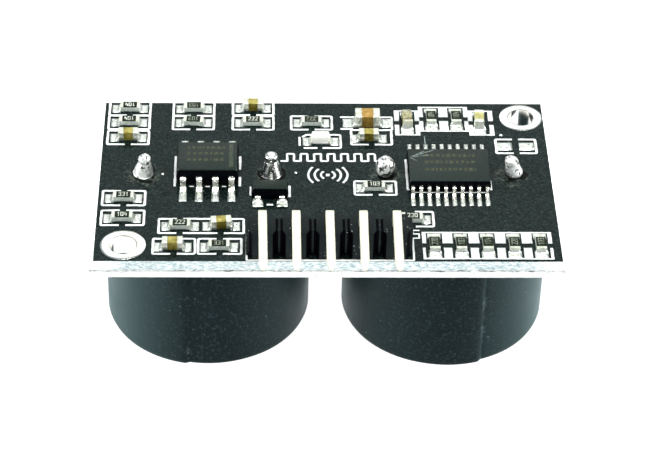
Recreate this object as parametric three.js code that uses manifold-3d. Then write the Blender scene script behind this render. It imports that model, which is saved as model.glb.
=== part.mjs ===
// Ultrasonic distance sensor: a small circuit board with two 16 mm transducers on its underside and a
// five-pin header whose pins are bent forward over the front edge. Units are millimetres, +Z is up.
// The sensor stands on the open ends of its two transducers with the component side up. The origin is on
// the surface that it stands on, at the centre of the whole object seen from above.
import * as THREE from "three";
import { mergeVertices } from "three/addons/utils/BufferGeometryUtils.js";
import Module from "manifold-3d";

const wasm = await Module();
wasm.setup();

// ---- Driving dimensions ----

const BOARD = {
  width: 35.8, // X, across the flat top face
  depth: 20.2, // Y, across the flat top face
  thickness: 1.6,
  scoreDepth: 0.65, // V-score on each side of the panel, which leaves sloping edges
  scoreInset: 0.3,
};

const MOUNTING_HOLE = {
  radius: 1.1,
  landRadius: 1.75, // plated ring
  landHeight: 0.07,
  places: [
    [-15.7, -8.2],
    [16.1, 8.2],
  ],
};

const TRANSDUCER = {
  centres: { left: -9.4, right: 9.75 }, // X on the board
  centreY: 0.5,
  length: 11.2, // from the board's underside to the sleeve's end
  pinPitch: 10,
  pinRadius: 0.5,
  pinInside: 3.2, // how far a pin reaches into the can
  boardHoleRadius: 0.62,
};

const CAN = {
  radius: 7.9,
  length: 10.8,
  wall: 0.45,
  lipRadius: 6.5, // opening in the lip round the front
  lipThickness: 0.4,
  corner: 0.35, // slope between the side and the front
};

// What the can holds, from the board down to the screen behind the lip.
const INSIDE = {
  clearance: 0.05, // between the can's bore and what fits in it
  baseThickness: 2.0,
  pedestalRadius: 2.9,
  pedestalBore: 1.7,
  pedestalHeight: 3.1,
  ringThickness: 0.4,
  ringFlare: 0.1,
  metalPlateRadius: 5.0,
  metalPlateThickness: 0.25,
  piezoRadius: 3.8,
  piezoThickness: 0.35,
  coneFootRadius: 1.1,
  coneMouthRadius: 5.2,
  coneDepth: 3.1,
  coneWall: 0.25,
  screenThickness: 0.3,
};

const SLEEVE = {
  innerRadius: 7.93,
  thinnest: 0.17, // wall where the wrap starts
  thickest: 0.37, // wall where the wrap ends, on top of its own start
  seams: { left: -100, right: -70 }, // degrees round the barrel, where the wrap ends
};

const HEADER = {
  ways: 5,
  pitch: 2.54,
  height: 2.5,
  depth: 2.5,
  centreX: 0.05,
  centreY: -8.65,
  notchDepth: 0.47, // break-off notch between two ways
  notchMouth: 1.0,
  notchFloor: 0.45,
  grooveDepth: 0.15,
  pin: 0.64,
  pinTop: 3.95, // top face of the bent-over run, above the board
  pinTip: -15.3, // Y on the board
  pinTail: -2.4, // Z of the soldered end, from the board's top face
  tipTaper: 0.85,
  tipWidth: 0.3,
  bendRadius: 0.7, // outside of the bend
  gripGap: 0.03, // between a pin and its slot in the moulding
  boardHoleRadius: 0.52,
};

// Heights of the solder cones and of the pin ends that stand out of them, above the board.
const TRANSDUCER_JOINTS = {
  left_a: { pinTop: 1.9, coneTop: 1.4, coneRadius: 0.92 },
  left_b: { pinTop: 2.0, coneTop: 1.5, coneRadius: 0.86 },
  right_a: { pinTop: 1.35, coneTop: 1.2, coneRadius: 0.8 },
  right_b: { pinTop: 1.8, coneTop: 1.6, coneRadius: 0.75 },
};

// Chip sizes: length is along the current, between the two metal ends.
const CHIPS = {
  resistor: { length: 1.6, width: 0.8, height: 0.45, end: 0.3, wrap: 0.02 },
  capacitor: { length: 1.6, width: 0.8, height: 0.8, end: 0.35, wrap: 0.02 },
  bulk_capacitor: { length: 2.0, width: 1.25, height: 1.1, end: 0.45, wrap: 0.02 },
};

const LED = {
  length: 1.6,
  width: 0.8,
  carrierHeight: 0.27,
  end: 0.2,
  endHeight: 0.3,
  lensLength: 1.4,
  lensHeight: 0.62,
  lensBottom: 0.15,
  lensDraft: 0.08,
};

// Where each chip sits: [node name, kind, X, Y, turn in degrees], from the board's centre.
const STANDING = 90; // a chip whose length runs front to back
const ROW = { count: 5, firstX: 8.17, pitch: 2.04, y: -8.2 }; // resistors along the front edge
const PLACES = [
  ["resistor_r1", "resistor", -15.87, 9.28, 0],
  ["resistor_r2", "resistor", -15.87, 7.4, 0],
  ["capacitor_c1", "capacitor", -15.85, 5.36, 0],
  ["resistor_r3", "resistor", -10.65, 9.26, 0],
  ["resistor_r4", "resistor", -10.65, 7.38, -4],
  ["capacitor_c2", "capacitor", -5.82, 9.36, 0],
  ["resistor_r5", "resistor", -5.82, 7.38, 0],
  ["resistor_r6", "resistor", -1.05, 7.4, 0],
  ["capacitor_c3", "bulk_capacitor", 3.5, 7.42, 0],
  ["capacitor_c4", "capacitor", 3.55, 5.34, 0],
  ["capacitor_c5", "capacitor", 6.73, 7.45, STANDING + 3],
  ["resistor_r7", "resistor", 8.73, 7.97, STANDING],
  ["resistor_r8", "resistor", 10.77, 7.97, STANDING],
  ["capacitor_c6", "capacitor", 12.62, 7.47, STANDING - 3],
  ["resistor_r9", "resistor", -15.9, -2.48, 0],
  ["resistor_r10", "resistor", -15.9, -4.96, 0],
  ["resistor_r11", "resistor", -11.4, -5.92, 0],
  ["capacitor_c7", "capacitor", -8.22, -5.9, 5],
  ["capacitor_c8", "capacitor", -11.9, -8.42, 0],
  ["resistor_r12", "resistor", -8.35, -8.42, 0],
  ["resistor_r13", "resistor", 3.8, -1.1, 0],
  ["resistor_r14", "resistor", 6.6, -5.05, 0],
  ...Array.from({ length: ROW.count }, (_, i) => [
    `resistor_r${15 + i}`,
    "resistor",
    ROW.firstX + i * ROW.pitch,
    ROW.y,
    STANDING,
  ]),
];
const LED_PLACE = [-0.35, 4.92];

// Moulded packages: a body with gull-wing leads in two rows.
const PACKAGES = {
  amplifier_ic: {
    at: [-9.37, 0.95],
    body: [4.9, 3.9, 1.4],
    standoff: 0.15,
    exitHeight: 0.85, // middle of the leads where they leave the body
    span: 6.0,
    lead: { width: 0.42, thickness: 0.2, foot: 0.6 },
    front: [-1.905, -0.635, 0.635, 1.905],
    rear: [-1.905, -0.635, 0.635, 1.905],
  },
  controller_ic: {
    at: [9.72, 0.57],
    body: [6.5, 4.4, 0.95],
    standoff: 0.1,
    exitHeight: 0.575,
    span: 6.4,
    lead: { width: 0.24, thickness: 0.13, foot: 0.5 },
    front: evenly(10, 0.65),
    rear: evenly(10, 0.65),
  },
  transistor_q1: {
    at: [-4.45, -1.98],
    body: [2.9, 1.3, 1.0],
    standoff: 0.06,
    exitHeight: 0.38,
    span: 2.4,
    lead: { width: 0.42, thickness: 0.13, foot: 0.3 },
    front: [-0.95, 0.95],
    rear: [0],
  },
};

const LEAD_ROOT = 0.4; // how far a lead reaches into its package
const MOULD_DRAFT = 0.08; // slope of a package's sides, as a share of its height
const JOINT_RIM = 0.08; // width of a solder cone's top
const FLANK_CURVE = 1.2; // 1 makes a solder cone's flank straight, and more hollows it

const BARREL_STEPS = 48; // facets round a piece
const INSIDE_STEPS = 36;
const HOLE_STEPS = 24;
const JOINT_STEPS = 16;
const PIN_STEPS = 12;

// ---- Colours and finishes ----

const finish = (color, roughness, metalness = 0) =>
  new THREE.MeshStandardMaterial({ color, roughness, metalness });
const MATERIALS = {
  solderMask: finish(0x20272a, 0.45),
  rubber: finish(0x1c2224, 0.6),
  aluminium: finish(0xc9ccce, 0.35, 1),
  steel: finish(0xb4b6b6, 0.4, 1),
  ceramic: finish(0xd9d2bf, 0.6),
  silicone: finish(0xe6e4dc, 0.5),
  phenolic: finish(0x2a2622, 0.6),
  tin: finish(0xd8d8d4, 0.25, 1),
  solder: finish(0xcfd0cf, 0.2, 1),
  headerPlastic: finish(0x14181a, 0.5),
  epoxy: finish(0x23282a, 0.55),
  resistorBody: finish(0x1b1c1a, 0.4),
  capacitorBody: finish(0xa9781f, 0.5),
  ledBody: finish(0xf4f2e6, 0.35),
};

// ---- Solids: joining and cutting ----

function evenly(count, pitch) {
  return Array.from({ length: count }, (_, i) => (i - (count - 1) / 2) * pitch);
}

function solidOf(geometry) {
  const plain = geometry.clone();
  plain.deleteAttribute("normal");
  plain.deleteAttribute("uv");
  const merged = mergeVertices(plain, 1e-4);
  return new wasm.Manifold(
    new wasm.Mesh({
      numProp: 3,
      vertProperties: merged.attributes.position.array,
      triVerts: new Uint32Array(merged.index.array),
    }),
  );
}

function geometryOf(solid) {
  const mesh = solid.getMesh();
  const geometry = new THREE.BufferGeometry();
  geometry.setAttribute("position", new THREE.BufferAttribute(mesh.vertProperties, 3));
  geometry.setIndex(new THREE.BufferAttribute(mesh.triVerts, 1));
  const faceted = geometry.toNonIndexed();
  faceted.computeVertexNormals();
  return faceted;
}

const join = (geometries) => geometries.map(solidOf).reduce((all, next) => all.add(next));
const cut = (geometry, cutters) =>
  cutters.map(solidOf).reduce((left, next) => left.subtract(next), solidOf(geometry));

// ---- Basic shapes, with Z up ----

// A box with its lowest face at z.
function block(width, depth, height, x = 0, y = 0, z = 0) {
  return new THREE.BoxGeometry(width, depth, height).translate(x, y, z + height / 2);
}

// A moulded body: its sides slope in above and below the parting line at half height.
function mouldedBlock(width, depth, height, draft, z) {
  const geometry = new THREE.BoxGeometry(width, depth, height, 1, 1, 2);
  const position = geometry.attributes.position;
  for (let i = 0; i < position.count; i++) {
    const inset = (draft * Math.abs(position.getZ(i))) / (height / 2);
    position.setX(i, position.getX(i) - Math.sign(position.getX(i)) * inset);
    position.setY(i, position.getY(i) - Math.sign(position.getY(i)) * inset);
  }
  return geometry.translate(0, 0, z + height / 2);
}

function cylinder(radius, z0, z1, steps, x = 0, y = 0) {
  return new THREE.CylinderGeometry(radius, radius, z1 - z0, steps)
    .rotateX(Math.PI / 2)
    .translate(x, y, (z0 + z1) / 2);
}

// A turned piece from [radius, z] corners, listed from the top down along the outside.
function turned(corners, steps) {
  const profile = corners.map(([r, z]) => new THREE.Vector2(r, z));
  const onAxis = profile[0].x === 0 && profile.at(-1).x === 0;
  if (!onAxis) profile.push(profile[0].clone());
  return new THREE.LatheGeometry(profile.reverse(), steps).rotateX(Math.PI / 2);
}

function shapeOf(points) {
  return new THREE.Shape(points.map(([x, y]) => new THREE.Vector2(x, y)));
}

// An outline in the XY plane, extruded from z0 to z1.
function plate(shape, z0, z1, curveSegments = 6) {
  const settings = { depth: z1 - z0, bevelEnabled: false, curveSegments };
  return new THREE.ExtrudeGeometry(shape, settings).translate(0, 0, z0);
}

// An outline drawn in the YZ plane, extruded along X about the middle.
function sideways(shape, width, curveSegments = 6) {
  return new THREE.ExtrudeGeometry(shape, { depth: width, bevelEnabled: false, curveSegments })
    .translate(0, 0, -width / 2)
    .rotateY(Math.PI / 2)
    .rotateX(Math.PI / 2);
}

function meshOf(name, shape, material) {
  const geometry = shape.isBufferGeometry ? shape : geometryOf(shape);
  const mesh = new THREE.Mesh(geometry, material);
  mesh.name = name;
  return mesh;
}

// ---- The circuit board ----

const pinColumns = evenly(HEADER.ways, HEADER.pitch).map((x) => x + HEADER.centreX);

// Every place where a transducer pin crosses the board: [joint name, X].
const transducerPins = Object.entries(TRANSDUCER.centres).flatMap(([side, x]) => [
  [`${side}_a`, x - TRANSDUCER.pinPitch / 2],
  [`${side}_b`, x + TRANSDUCER.pinPitch / 2],
]);

// The board's top face is z = 0 here. Its edges slope out to a narrow web where the panel was snapped.
function board() {
  const { width, depth, thickness, scoreDepth, scoreInset } = BOARD;
  const outline = shapeOf([
    [-width / 2, -depth / 2],
    [width / 2, -depth / 2],
    [width / 2, depth / 2],
    [-width / 2, depth / 2],
  ]);
  const sheet = new THREE.ExtrudeGeometry(outline, {
    depth: thickness - 2 * scoreDepth,
    bevelThickness: scoreDepth,
    bevelSize: scoreInset,
    bevelSegments: 1,
  }).translate(0, 0, scoreDepth - thickness);
  const { radius, landRadius, landHeight, places } = MOUNTING_HOLE;
  const lands = places.map(([x, y]) => cylinder(landRadius, -thickness / 2, landHeight, HOLE_STEPS, x, y));
  const through = (r, steps, x, y) => cylinder(r, -thickness - 1, 1, steps, x, y);
  const holes = [
    ...places.map(([x, y]) => through(radius, HOLE_STEPS, x, y)),
    ...transducerPins.map(([, x]) => through(TRANSDUCER.boardHoleRadius, PIN_STEPS, x, TRANSDUCER.centreY)),
    ...pinColumns.map((x) => through(HEADER.boardHoleRadius, PIN_STEPS, x, HEADER.centreY)),
  ];
  return cut(geometryOf(join([sheet, ...lands])), holes);
}

// ---- The pin header ----

// Seen from above, each way is an eight-sided block, and neighbours meet at break-off notches.
function headerMoulding() {
  const { ways, pitch, depth, height, pin, gripGap } = HEADER;
  const { notchDepth, notchMouth, notchFloor, grooveDepth } = HEADER;
  const halfLength = (ways * pitch) / 2;
  const front = -depth / 2;
  const slope = (notchMouth - notchFloor) / 2;
  const frontEdge = [
    [-halfLength, front + notchDepth],
    [-halfLength + slope, front],
  ];
  const splits = evenly(ways - 1, pitch);
  for (const x of splits)
    frontEdge.push(
      [x - notchMouth / 2, front],
      [x - notchFloor / 2, front + notchDepth],
      [x + notchFloor / 2, front + notchDepth],
      [x + notchMouth / 2, front],
    );
  frontEdge.push([halfLength - slope, front], [halfLength, front + notchDepth]);
  const rearEdge = frontEdge.map(([x, y]) => [-x, -y]);
  const moulding = plate(shapeOf([...frontEdge, ...rearEdge]), 0, height);
  const slot = pin + 2 * gripGap;
  const slots = evenly(ways, pitch).map((x) => block(slot, slot, height + 2, x, 0, -1));
  const grooves = splits.map((x) => block(notchFloor, depth, 1, x, 0, height - grooveDepth));
  return cut(moulding, [...slots, ...grooves]);
}

// A strip as wide as a header pin, which narrows to its tip.
function pointedStrip(tip, end) {
  const { pin, tipTaper, tipWidth } = HEADER;
  return shapeOf([
    [-tipWidth / 2, tip],
    [tipWidth / 2, tip],
    [pin / 2, tip + tipTaper],
    [pin / 2, end],
    [-pin / 2, end],
    [-pin / 2, tip + tipTaper],
  ]);
}

// A square pin: down through the board, bent forward just above the moulding, with both ends pointed.
function headerPin() {
  const { pin, pinTop, pinTail, bendRadius, tipTaper, tipWidth, centreY } = HEADER;
  const half = pin / 2;
  const tip = HEADER.pinTip - centreY;
  const middle = pinTop - half;
  const pinch = (pin - tipWidth) / 2;
  const side = new THREE.Shape();
  side.moveTo(half - pinch, pinTail);
  side.lineTo(half, pinTail + tipTaper);
  side.lineTo(half, pinTop - bendRadius);
  side.absarc(half - bendRadius, pinTop - bendRadius, bendRadius, 0, Math.PI / 2, false);
  side.lineTo(tip + tipTaper, pinTop);
  side.lineTo(tip, middle + tipWidth / 2);
  side.lineTo(tip, middle - tipWidth / 2);
  side.lineTo(tip + tipTaper, pinTop - pin);
  side.lineTo(half - bendRadius, pinTop - pin);
  side.absarc(half - bendRadius, pinTop - bendRadius, bendRadius - pin, Math.PI / 2, 0, true);
  side.lineTo(-half, pinTail + tipTaper);
  side.lineTo(-half + pinch, pinTail);
  const margin = 1;
  const fromAbove = plate(pointedStrip(tip, margin), pinTail - margin, pinTop + margin);
  const fromFront = plate(pointedStrip(pinTail, pinTop + margin), -BOARD.depth, BOARD.depth);
  return [fromAbove, fromFront.rotateX(Math.PI / 2)]
    .map(solidOf)
    .reduce((left, next) => left.intersect(next), solidOf(sideways(side, pin)));
}

// ---- The transducers ----

// Each piece is shaped from the board's underside (z = 0) downwards, about the barrel's axis.

// A strip wrapped once round the can: its wall thickens evenly up to the step at the seam.
function sleeve(seamDegrees) {
  const { innerRadius, thinnest, thickest } = SLEEVE;
  const seam = THREE.MathUtils.degToRad(seamDegrees);
  const outline = [];
  for (let i = 0; i <= BARREL_STEPS; i++) {
    const share = i / BARREL_STEPS;
    const r = innerRadius + thinnest + (thickest - thinnest) * share;
    const angle = seam + share * 2 * Math.PI;
    outline.push([r * Math.cos(angle), r * Math.sin(angle)]);
  }
  const ring = shapeOf(outline);
  ring.holes.push(new THREE.Path().absarc(0, 0, innerRadius, seam, seam + 2 * Math.PI, false));
  return plate(ring, -TRANSDUCER.length, 0, BARREL_STEPS / 2);
}

// A drawn cup, open towards the board, with a lip turned in round its front opening.
function can() {
  const { radius, length, wall, lipRadius, lipThickness, corner } = CAN;
  const bore = radius - wall;
  return turned(
    [
      [bore, 0],
      [radius, 0],
      [radius, corner - length],
      [radius - corner, -length],
      [lipRadius, -length],
      [lipRadius, lipThickness - length],
      [bore, lipThickness - length],
    ],
    BARREL_STEPS,
  );
}

const fittingRadius = CAN.radius - CAN.wall - INSIDE.clearance;
const baseBottom = -INSIDE.baseThickness;
const pedestalBottom = baseBottom - INSIDE.pedestalHeight;
const ringBottom = pedestalBottom - INSIDE.ringThickness;
const metalPlateBottom = ringBottom - INSIDE.metalPlateThickness;
const piezoBottom = metalPlateBottom - INSIDE.piezoThickness;
const coneBottom = piezoBottom - INSIDE.coneDepth;
const screenBottom = CAN.lipThickness - CAN.length;

// The protective screen lies behind the lip.
function screen() {
  return cylinder(fittingRadius, screenBottom, screenBottom + INSIDE.screenThickness, BARREL_STEPS);
}

// The base closes the back of the can, carries the two pins and ends in a hollow pedestal.
function base() {
  const { pedestalRadius, pedestalBore } = INSIDE;
  const { pinPitch, pinRadius } = TRANSDUCER;
  const holeRadius = pinRadius + HEADER.gripGap;
  const pinHoles = [-1, 1].map((s) => cylinder(holeRadius, baseBottom - 1, 1, PIN_STEPS, (s * pinPitch) / 2));
  const body = turned(
    [
      [0, 0],
      [fittingRadius, 0],
      [fittingRadius, baseBottom],
      [pedestalRadius, baseBottom],
      [pedestalRadius, pedestalBottom],
      [pedestalBore, pedestalBottom],
      [pedestalBore, baseBottom],
      [0, baseBottom],
    ],
    BARREL_STEPS,
  );
  return cut(body, pinHoles);
}

// A soft ring of silicone holds the vibrating disc on the pedestal.
function siliconeRing() {
  const { pedestalRadius, pedestalBore, ringFlare } = INSIDE;
  return turned(
    [
      [pedestalBore + ringFlare, pedestalBottom],
      [pedestalRadius - ringFlare, pedestalBottom],
      [pedestalRadius, ringBottom],
      [pedestalBore, ringBottom],
    ],
    HOLE_STEPS,
  );
}

// The vibrating disc: a piezo ceramic disc bonded to a wider metal plate.
function piezoDisc() {
  const { metalPlateRadius, piezoRadius } = INSIDE;
  return turned(
    [
      [0, ringBottom],
      [metalPlateRadius, ringBottom],
      [metalPlateRadius, metalPlateBottom],
      [piezoRadius, metalPlateBottom],
      [piezoRadius, piezoBottom],
      [0, piezoBottom],
    ],
    INSIDE_STEPS,
  );
}

// The resonator: a thin cone that stands on the disc and opens towards the screen.
function resonatorCone() {
  const { coneFootRadius, coneMouthRadius, coneWall } = INSIDE;
  return turned(
    [
      [0, piezoBottom],
      [coneFootRadius, piezoBottom],
      [coneMouthRadius, coneBottom],
      [coneMouthRadius - 1.4 * coneWall, coneBottom],
      [coneFootRadius - coneWall / 2, piezoBottom - coneWall],
      [0, piezoBottom - coneWall],
    ],
    INSIDE_STEPS,
  );
}

function transducer(side, x) {
  const group = new THREE.Group();
  group.position.set(x, TRANSDUCER.centreY, -BOARD.thickness);
  const add = (name, shape, material) => group.add(meshOf(`${side}_${name}`, shape, material));
  add("sleeve", sleeve(SLEEVE.seams[side]), MATERIALS.rubber);
  add("can", can(), MATERIALS.aluminium);
  add("screen", screen(), MATERIALS.steel);
  add("base", base(), MATERIALS.phenolic);
  add("silicone_ring", siliconeRing(), MATERIALS.silicone);
  add("piezo_disc", piezoDisc(), MATERIALS.ceramic);
  add("resonator_cone", resonatorCone(), MATERIALS.aluminium);
  const { pinRadius, pinPitch, pinInside } = TRANSDUCER;
  for (const [i, end] of ["a", "b"].entries()) {
    const top = BOARD.thickness + TRANSDUCER_JOINTS[`${side}_${end}`].pinTop;
    add(`pin_${end}`, cylinder(pinRadius, -pinInside, top, PIN_STEPS, (i - 0.5) * pinPitch), MATERIALS.tin);
  }
  return group;
}

// A cone of solder round a pin, with a nearly straight flank. Its foot is z = 0.
function solderCone({ coneTop, coneRadius }) {
  const bore = TRANSDUCER.pinRadius + HEADER.gripGap;
  const rim = bore + JOINT_RIM;
  const flankSteps = 5;
  const corners = [[bore, coneTop]];
  for (let i = 0; i <= flankSteps; i++) {
    const share = i / flankSteps;
    corners.push([rim + (coneRadius - rim) * share ** FLANK_CURVE, coneTop * (1 - share)]);
  }
  corners.push([bore, 0]);
  return turned(corners, JOINT_STEPS);
}

// ---- Parts soldered on the board ----

function chip(kind) {
  const { length, width, height, end, wrap } = CHIPS[kind];
  const body = block(length - 2 * wrap, width - 2 * wrap, height - 2 * wrap, 0, 0, wrap);
  const ends = [-1, 1].map((s) => block(end, width, height, (s * (length - end)) / 2));
  return join([body, ...ends]);
}

function led() {
  const { length, width, carrierHeight, end, endHeight, lensLength, lensHeight, lensBottom, lensDraft } = LED;
  const lens = new THREE.BoxGeometry(lensLength, width, lensHeight);
  const position = lens.attributes.position;
  for (let i = 0; i < position.count; i++)
    if (position.getZ(i) > 0) position.setX(i, position.getX(i) - Math.sign(position.getX(i)) * lensDraft);
  const ends = [-1, 1].map((s) => block(end, width, endHeight, (s * (length - end)) / 2));
  const carrier = block(length - end, width, carrierHeight);
  return join([carrier, ...ends, lens.translate(0, 0, lensBottom + lensHeight / 2)]);
}

// One gull-wing lead, pointing to the front (-Y): out of the body, down, and along the board.
function lead({ width, thickness, foot }, halfSpan, bodyEdge, exitHeight) {
  const heel = halfSpan - foot;
  const knee = heel - thickness;
  const root = bodyEdge - LEAD_ROOT;
  const above = exitHeight + thickness / 2;
  const below = exitHeight - thickness / 2;
  const profile = shapeOf([
    [-root, below],
    [-knee + thickness, below],
    [-heel + thickness / 4, 0],
    [-halfSpan, 0],
    [-halfSpan, thickness],
    [-heel, thickness],
    [-knee + thickness / 2, above],
    [-root, above],
  ]);
  return sideways(profile, width);
}

function mouldedPackage(name) {
  const { at, body, standoff, exitHeight, span, lead: leadSize, front, rear } = PACKAGES[name];
  const [width, depth, height] = body;
  const oneLead = () => lead(leadSize, span / 2, depth / 2, exitHeight);
  const pieces = [
    mouldedBlock(width, depth, height, MOULD_DRAFT * height, standoff),
    ...front.map((x) => oneLead().translate(x, 0, 0)),
    ...rear.map((x) => oneLead().rotateZ(Math.PI).translate(x, 0, 0)),
  ];
  const mesh = meshOf(name, join(pieces), MATERIALS.epoxy);
  mesh.position.set(at[0], at[1], 0);
  return mesh;
}

// ---- The whole sensor ----

// The header pins reach past the front edge, so the board lies a little behind the origin.
const boardRear = BOARD.depth / 2 + BOARD.scoreInset;
const boardY = -(boardRear + HEADER.pinTip) / 2;
const boardTop = TRANSDUCER.length + BOARD.thickness;

const sensor = new THREE.Group();
const onBoard = new THREE.Group();
onBoard.position.set(0, boardY, boardTop);
sensor.add(onBoard);

onBoard.add(meshOf("circuit_board", board(), MATERIALS.solderMask));

const moulding = meshOf("header_moulding", headerMoulding(), MATERIALS.headerPlastic);
moulding.position.set(HEADER.centreX, HEADER.centreY, 0);
onBoard.add(moulding);
pinColumns.forEach((x, i) => {
  const pin = meshOf(`header_pin_${i + 1}`, headerPin(), MATERIALS.tin);
  pin.position.set(x, HEADER.centreY, 0);
  onBoard.add(pin);
});

for (const [side, x] of Object.entries(TRANSDUCER.centres)) onBoard.add(transducer(side, x));
for (const [name, x] of transducerPins) {
  const joint = meshOf(`solder_joint_${name}`, solderCone(TRANSDUCER_JOINTS[name]), MATERIALS.solder);
  joint.position.set(x, TRANSDUCER.centreY, 0);
  onBoard.add(joint);
}

const CHIP_MATERIALS = {
  resistor: MATERIALS.resistorBody,
  capacitor: MATERIALS.capacitorBody,
  bulk_capacitor: MATERIALS.capacitorBody,
};
for (const [name, kind, x, y, turn] of PLACES) {
  const mesh = meshOf(name, chip(kind), CHIP_MATERIALS[kind]);
  mesh.position.set(x, y, 0);
  mesh.rotation.z = THREE.MathUtils.degToRad(turn);
  onBoard.add(mesh);
}

const lamp = meshOf("led_d1", led(), MATERIALS.ledBody);
lamp.position.set(LED_PLACE[0], LED_PLACE[1], 0);
onBoard.add(lamp);

for (const name of Object.keys(PACKAGES)) onBoard.add(mouldedPackage(name));

export default sensor;
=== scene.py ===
"""The looks of an ultrasonic distance sensor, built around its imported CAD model.

Shapes are drawn in millimetres about the centre of the board, with z = 0 on its top face, and each finished
piece is put in the model's own frame, in metres.
"""
import math
import random

import bmesh
import bpy
from mathutils import Matrix, Vector, noise


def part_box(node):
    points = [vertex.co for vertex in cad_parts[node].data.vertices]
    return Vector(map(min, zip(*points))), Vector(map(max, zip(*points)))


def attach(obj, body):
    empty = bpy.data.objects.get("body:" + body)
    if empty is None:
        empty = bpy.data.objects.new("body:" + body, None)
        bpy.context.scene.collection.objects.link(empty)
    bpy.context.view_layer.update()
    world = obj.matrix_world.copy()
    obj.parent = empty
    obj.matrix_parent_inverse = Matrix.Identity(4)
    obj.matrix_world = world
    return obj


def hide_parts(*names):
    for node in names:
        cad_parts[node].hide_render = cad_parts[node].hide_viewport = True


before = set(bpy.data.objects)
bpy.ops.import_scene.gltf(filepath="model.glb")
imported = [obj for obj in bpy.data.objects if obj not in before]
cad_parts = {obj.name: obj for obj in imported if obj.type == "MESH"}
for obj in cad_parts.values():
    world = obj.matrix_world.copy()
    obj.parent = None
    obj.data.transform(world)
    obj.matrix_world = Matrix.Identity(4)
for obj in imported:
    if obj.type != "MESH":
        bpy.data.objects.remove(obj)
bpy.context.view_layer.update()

MM = 0.001
BOARD_THICKNESS = 1.6
BOARD_WIDTH = 35.8
BOARD_DEPTH = 20.2

board_low, board_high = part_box("circuit_board")
ORIGIN = Vector(
    ((board_low.x + board_high.x) / 2, (board_low.y + board_high.y) / 2, board_low.z + BOARD_THICKNESS * MM)
)
TO_FRAME = Matrix.Translation(ORIGIN) @ Matrix.Scale(MM, 4)


def node_box(node):
    """A CAD node's lowest and highest corners, in millimetres about the board's centre."""
    low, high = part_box(node)
    return (low - ORIGIN) / MM, (high - ORIGIN) / MM


def node_centre(node):
    low, high = node_box(node)
    return (low + high) / 2


def arc(cx, cy, radius, start, end, steps=5):
    """Points on an arc from start to end, in degrees."""
    angles = [math.radians(start + (end - start) * i / steps) for i in range(steps + 1)]
    return [(cx + radius * math.cos(a), cy + radius * math.sin(a)) for a in angles]


def circle(x, y, radius, steps):
    """Points round a circle, which is not closed."""
    return arc(x, y, radius, 0, 360, steps)[:-1]


def bend(start, corner, end):
    """Points on a smooth curve from start to end that is pulled towards a corner."""
    return [start.lerp(corner, t).lerp(corner.lerp(end, t), t) for t in (0.0, 0.25, 0.5, 0.75, 1.0)]


def frame_point(x, y):
    """A place on the board's top face, in the model's own frame."""
    return ORIGIN + Vector((x, y, 0)) * MM


# ---- Drawing solids ----


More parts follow.
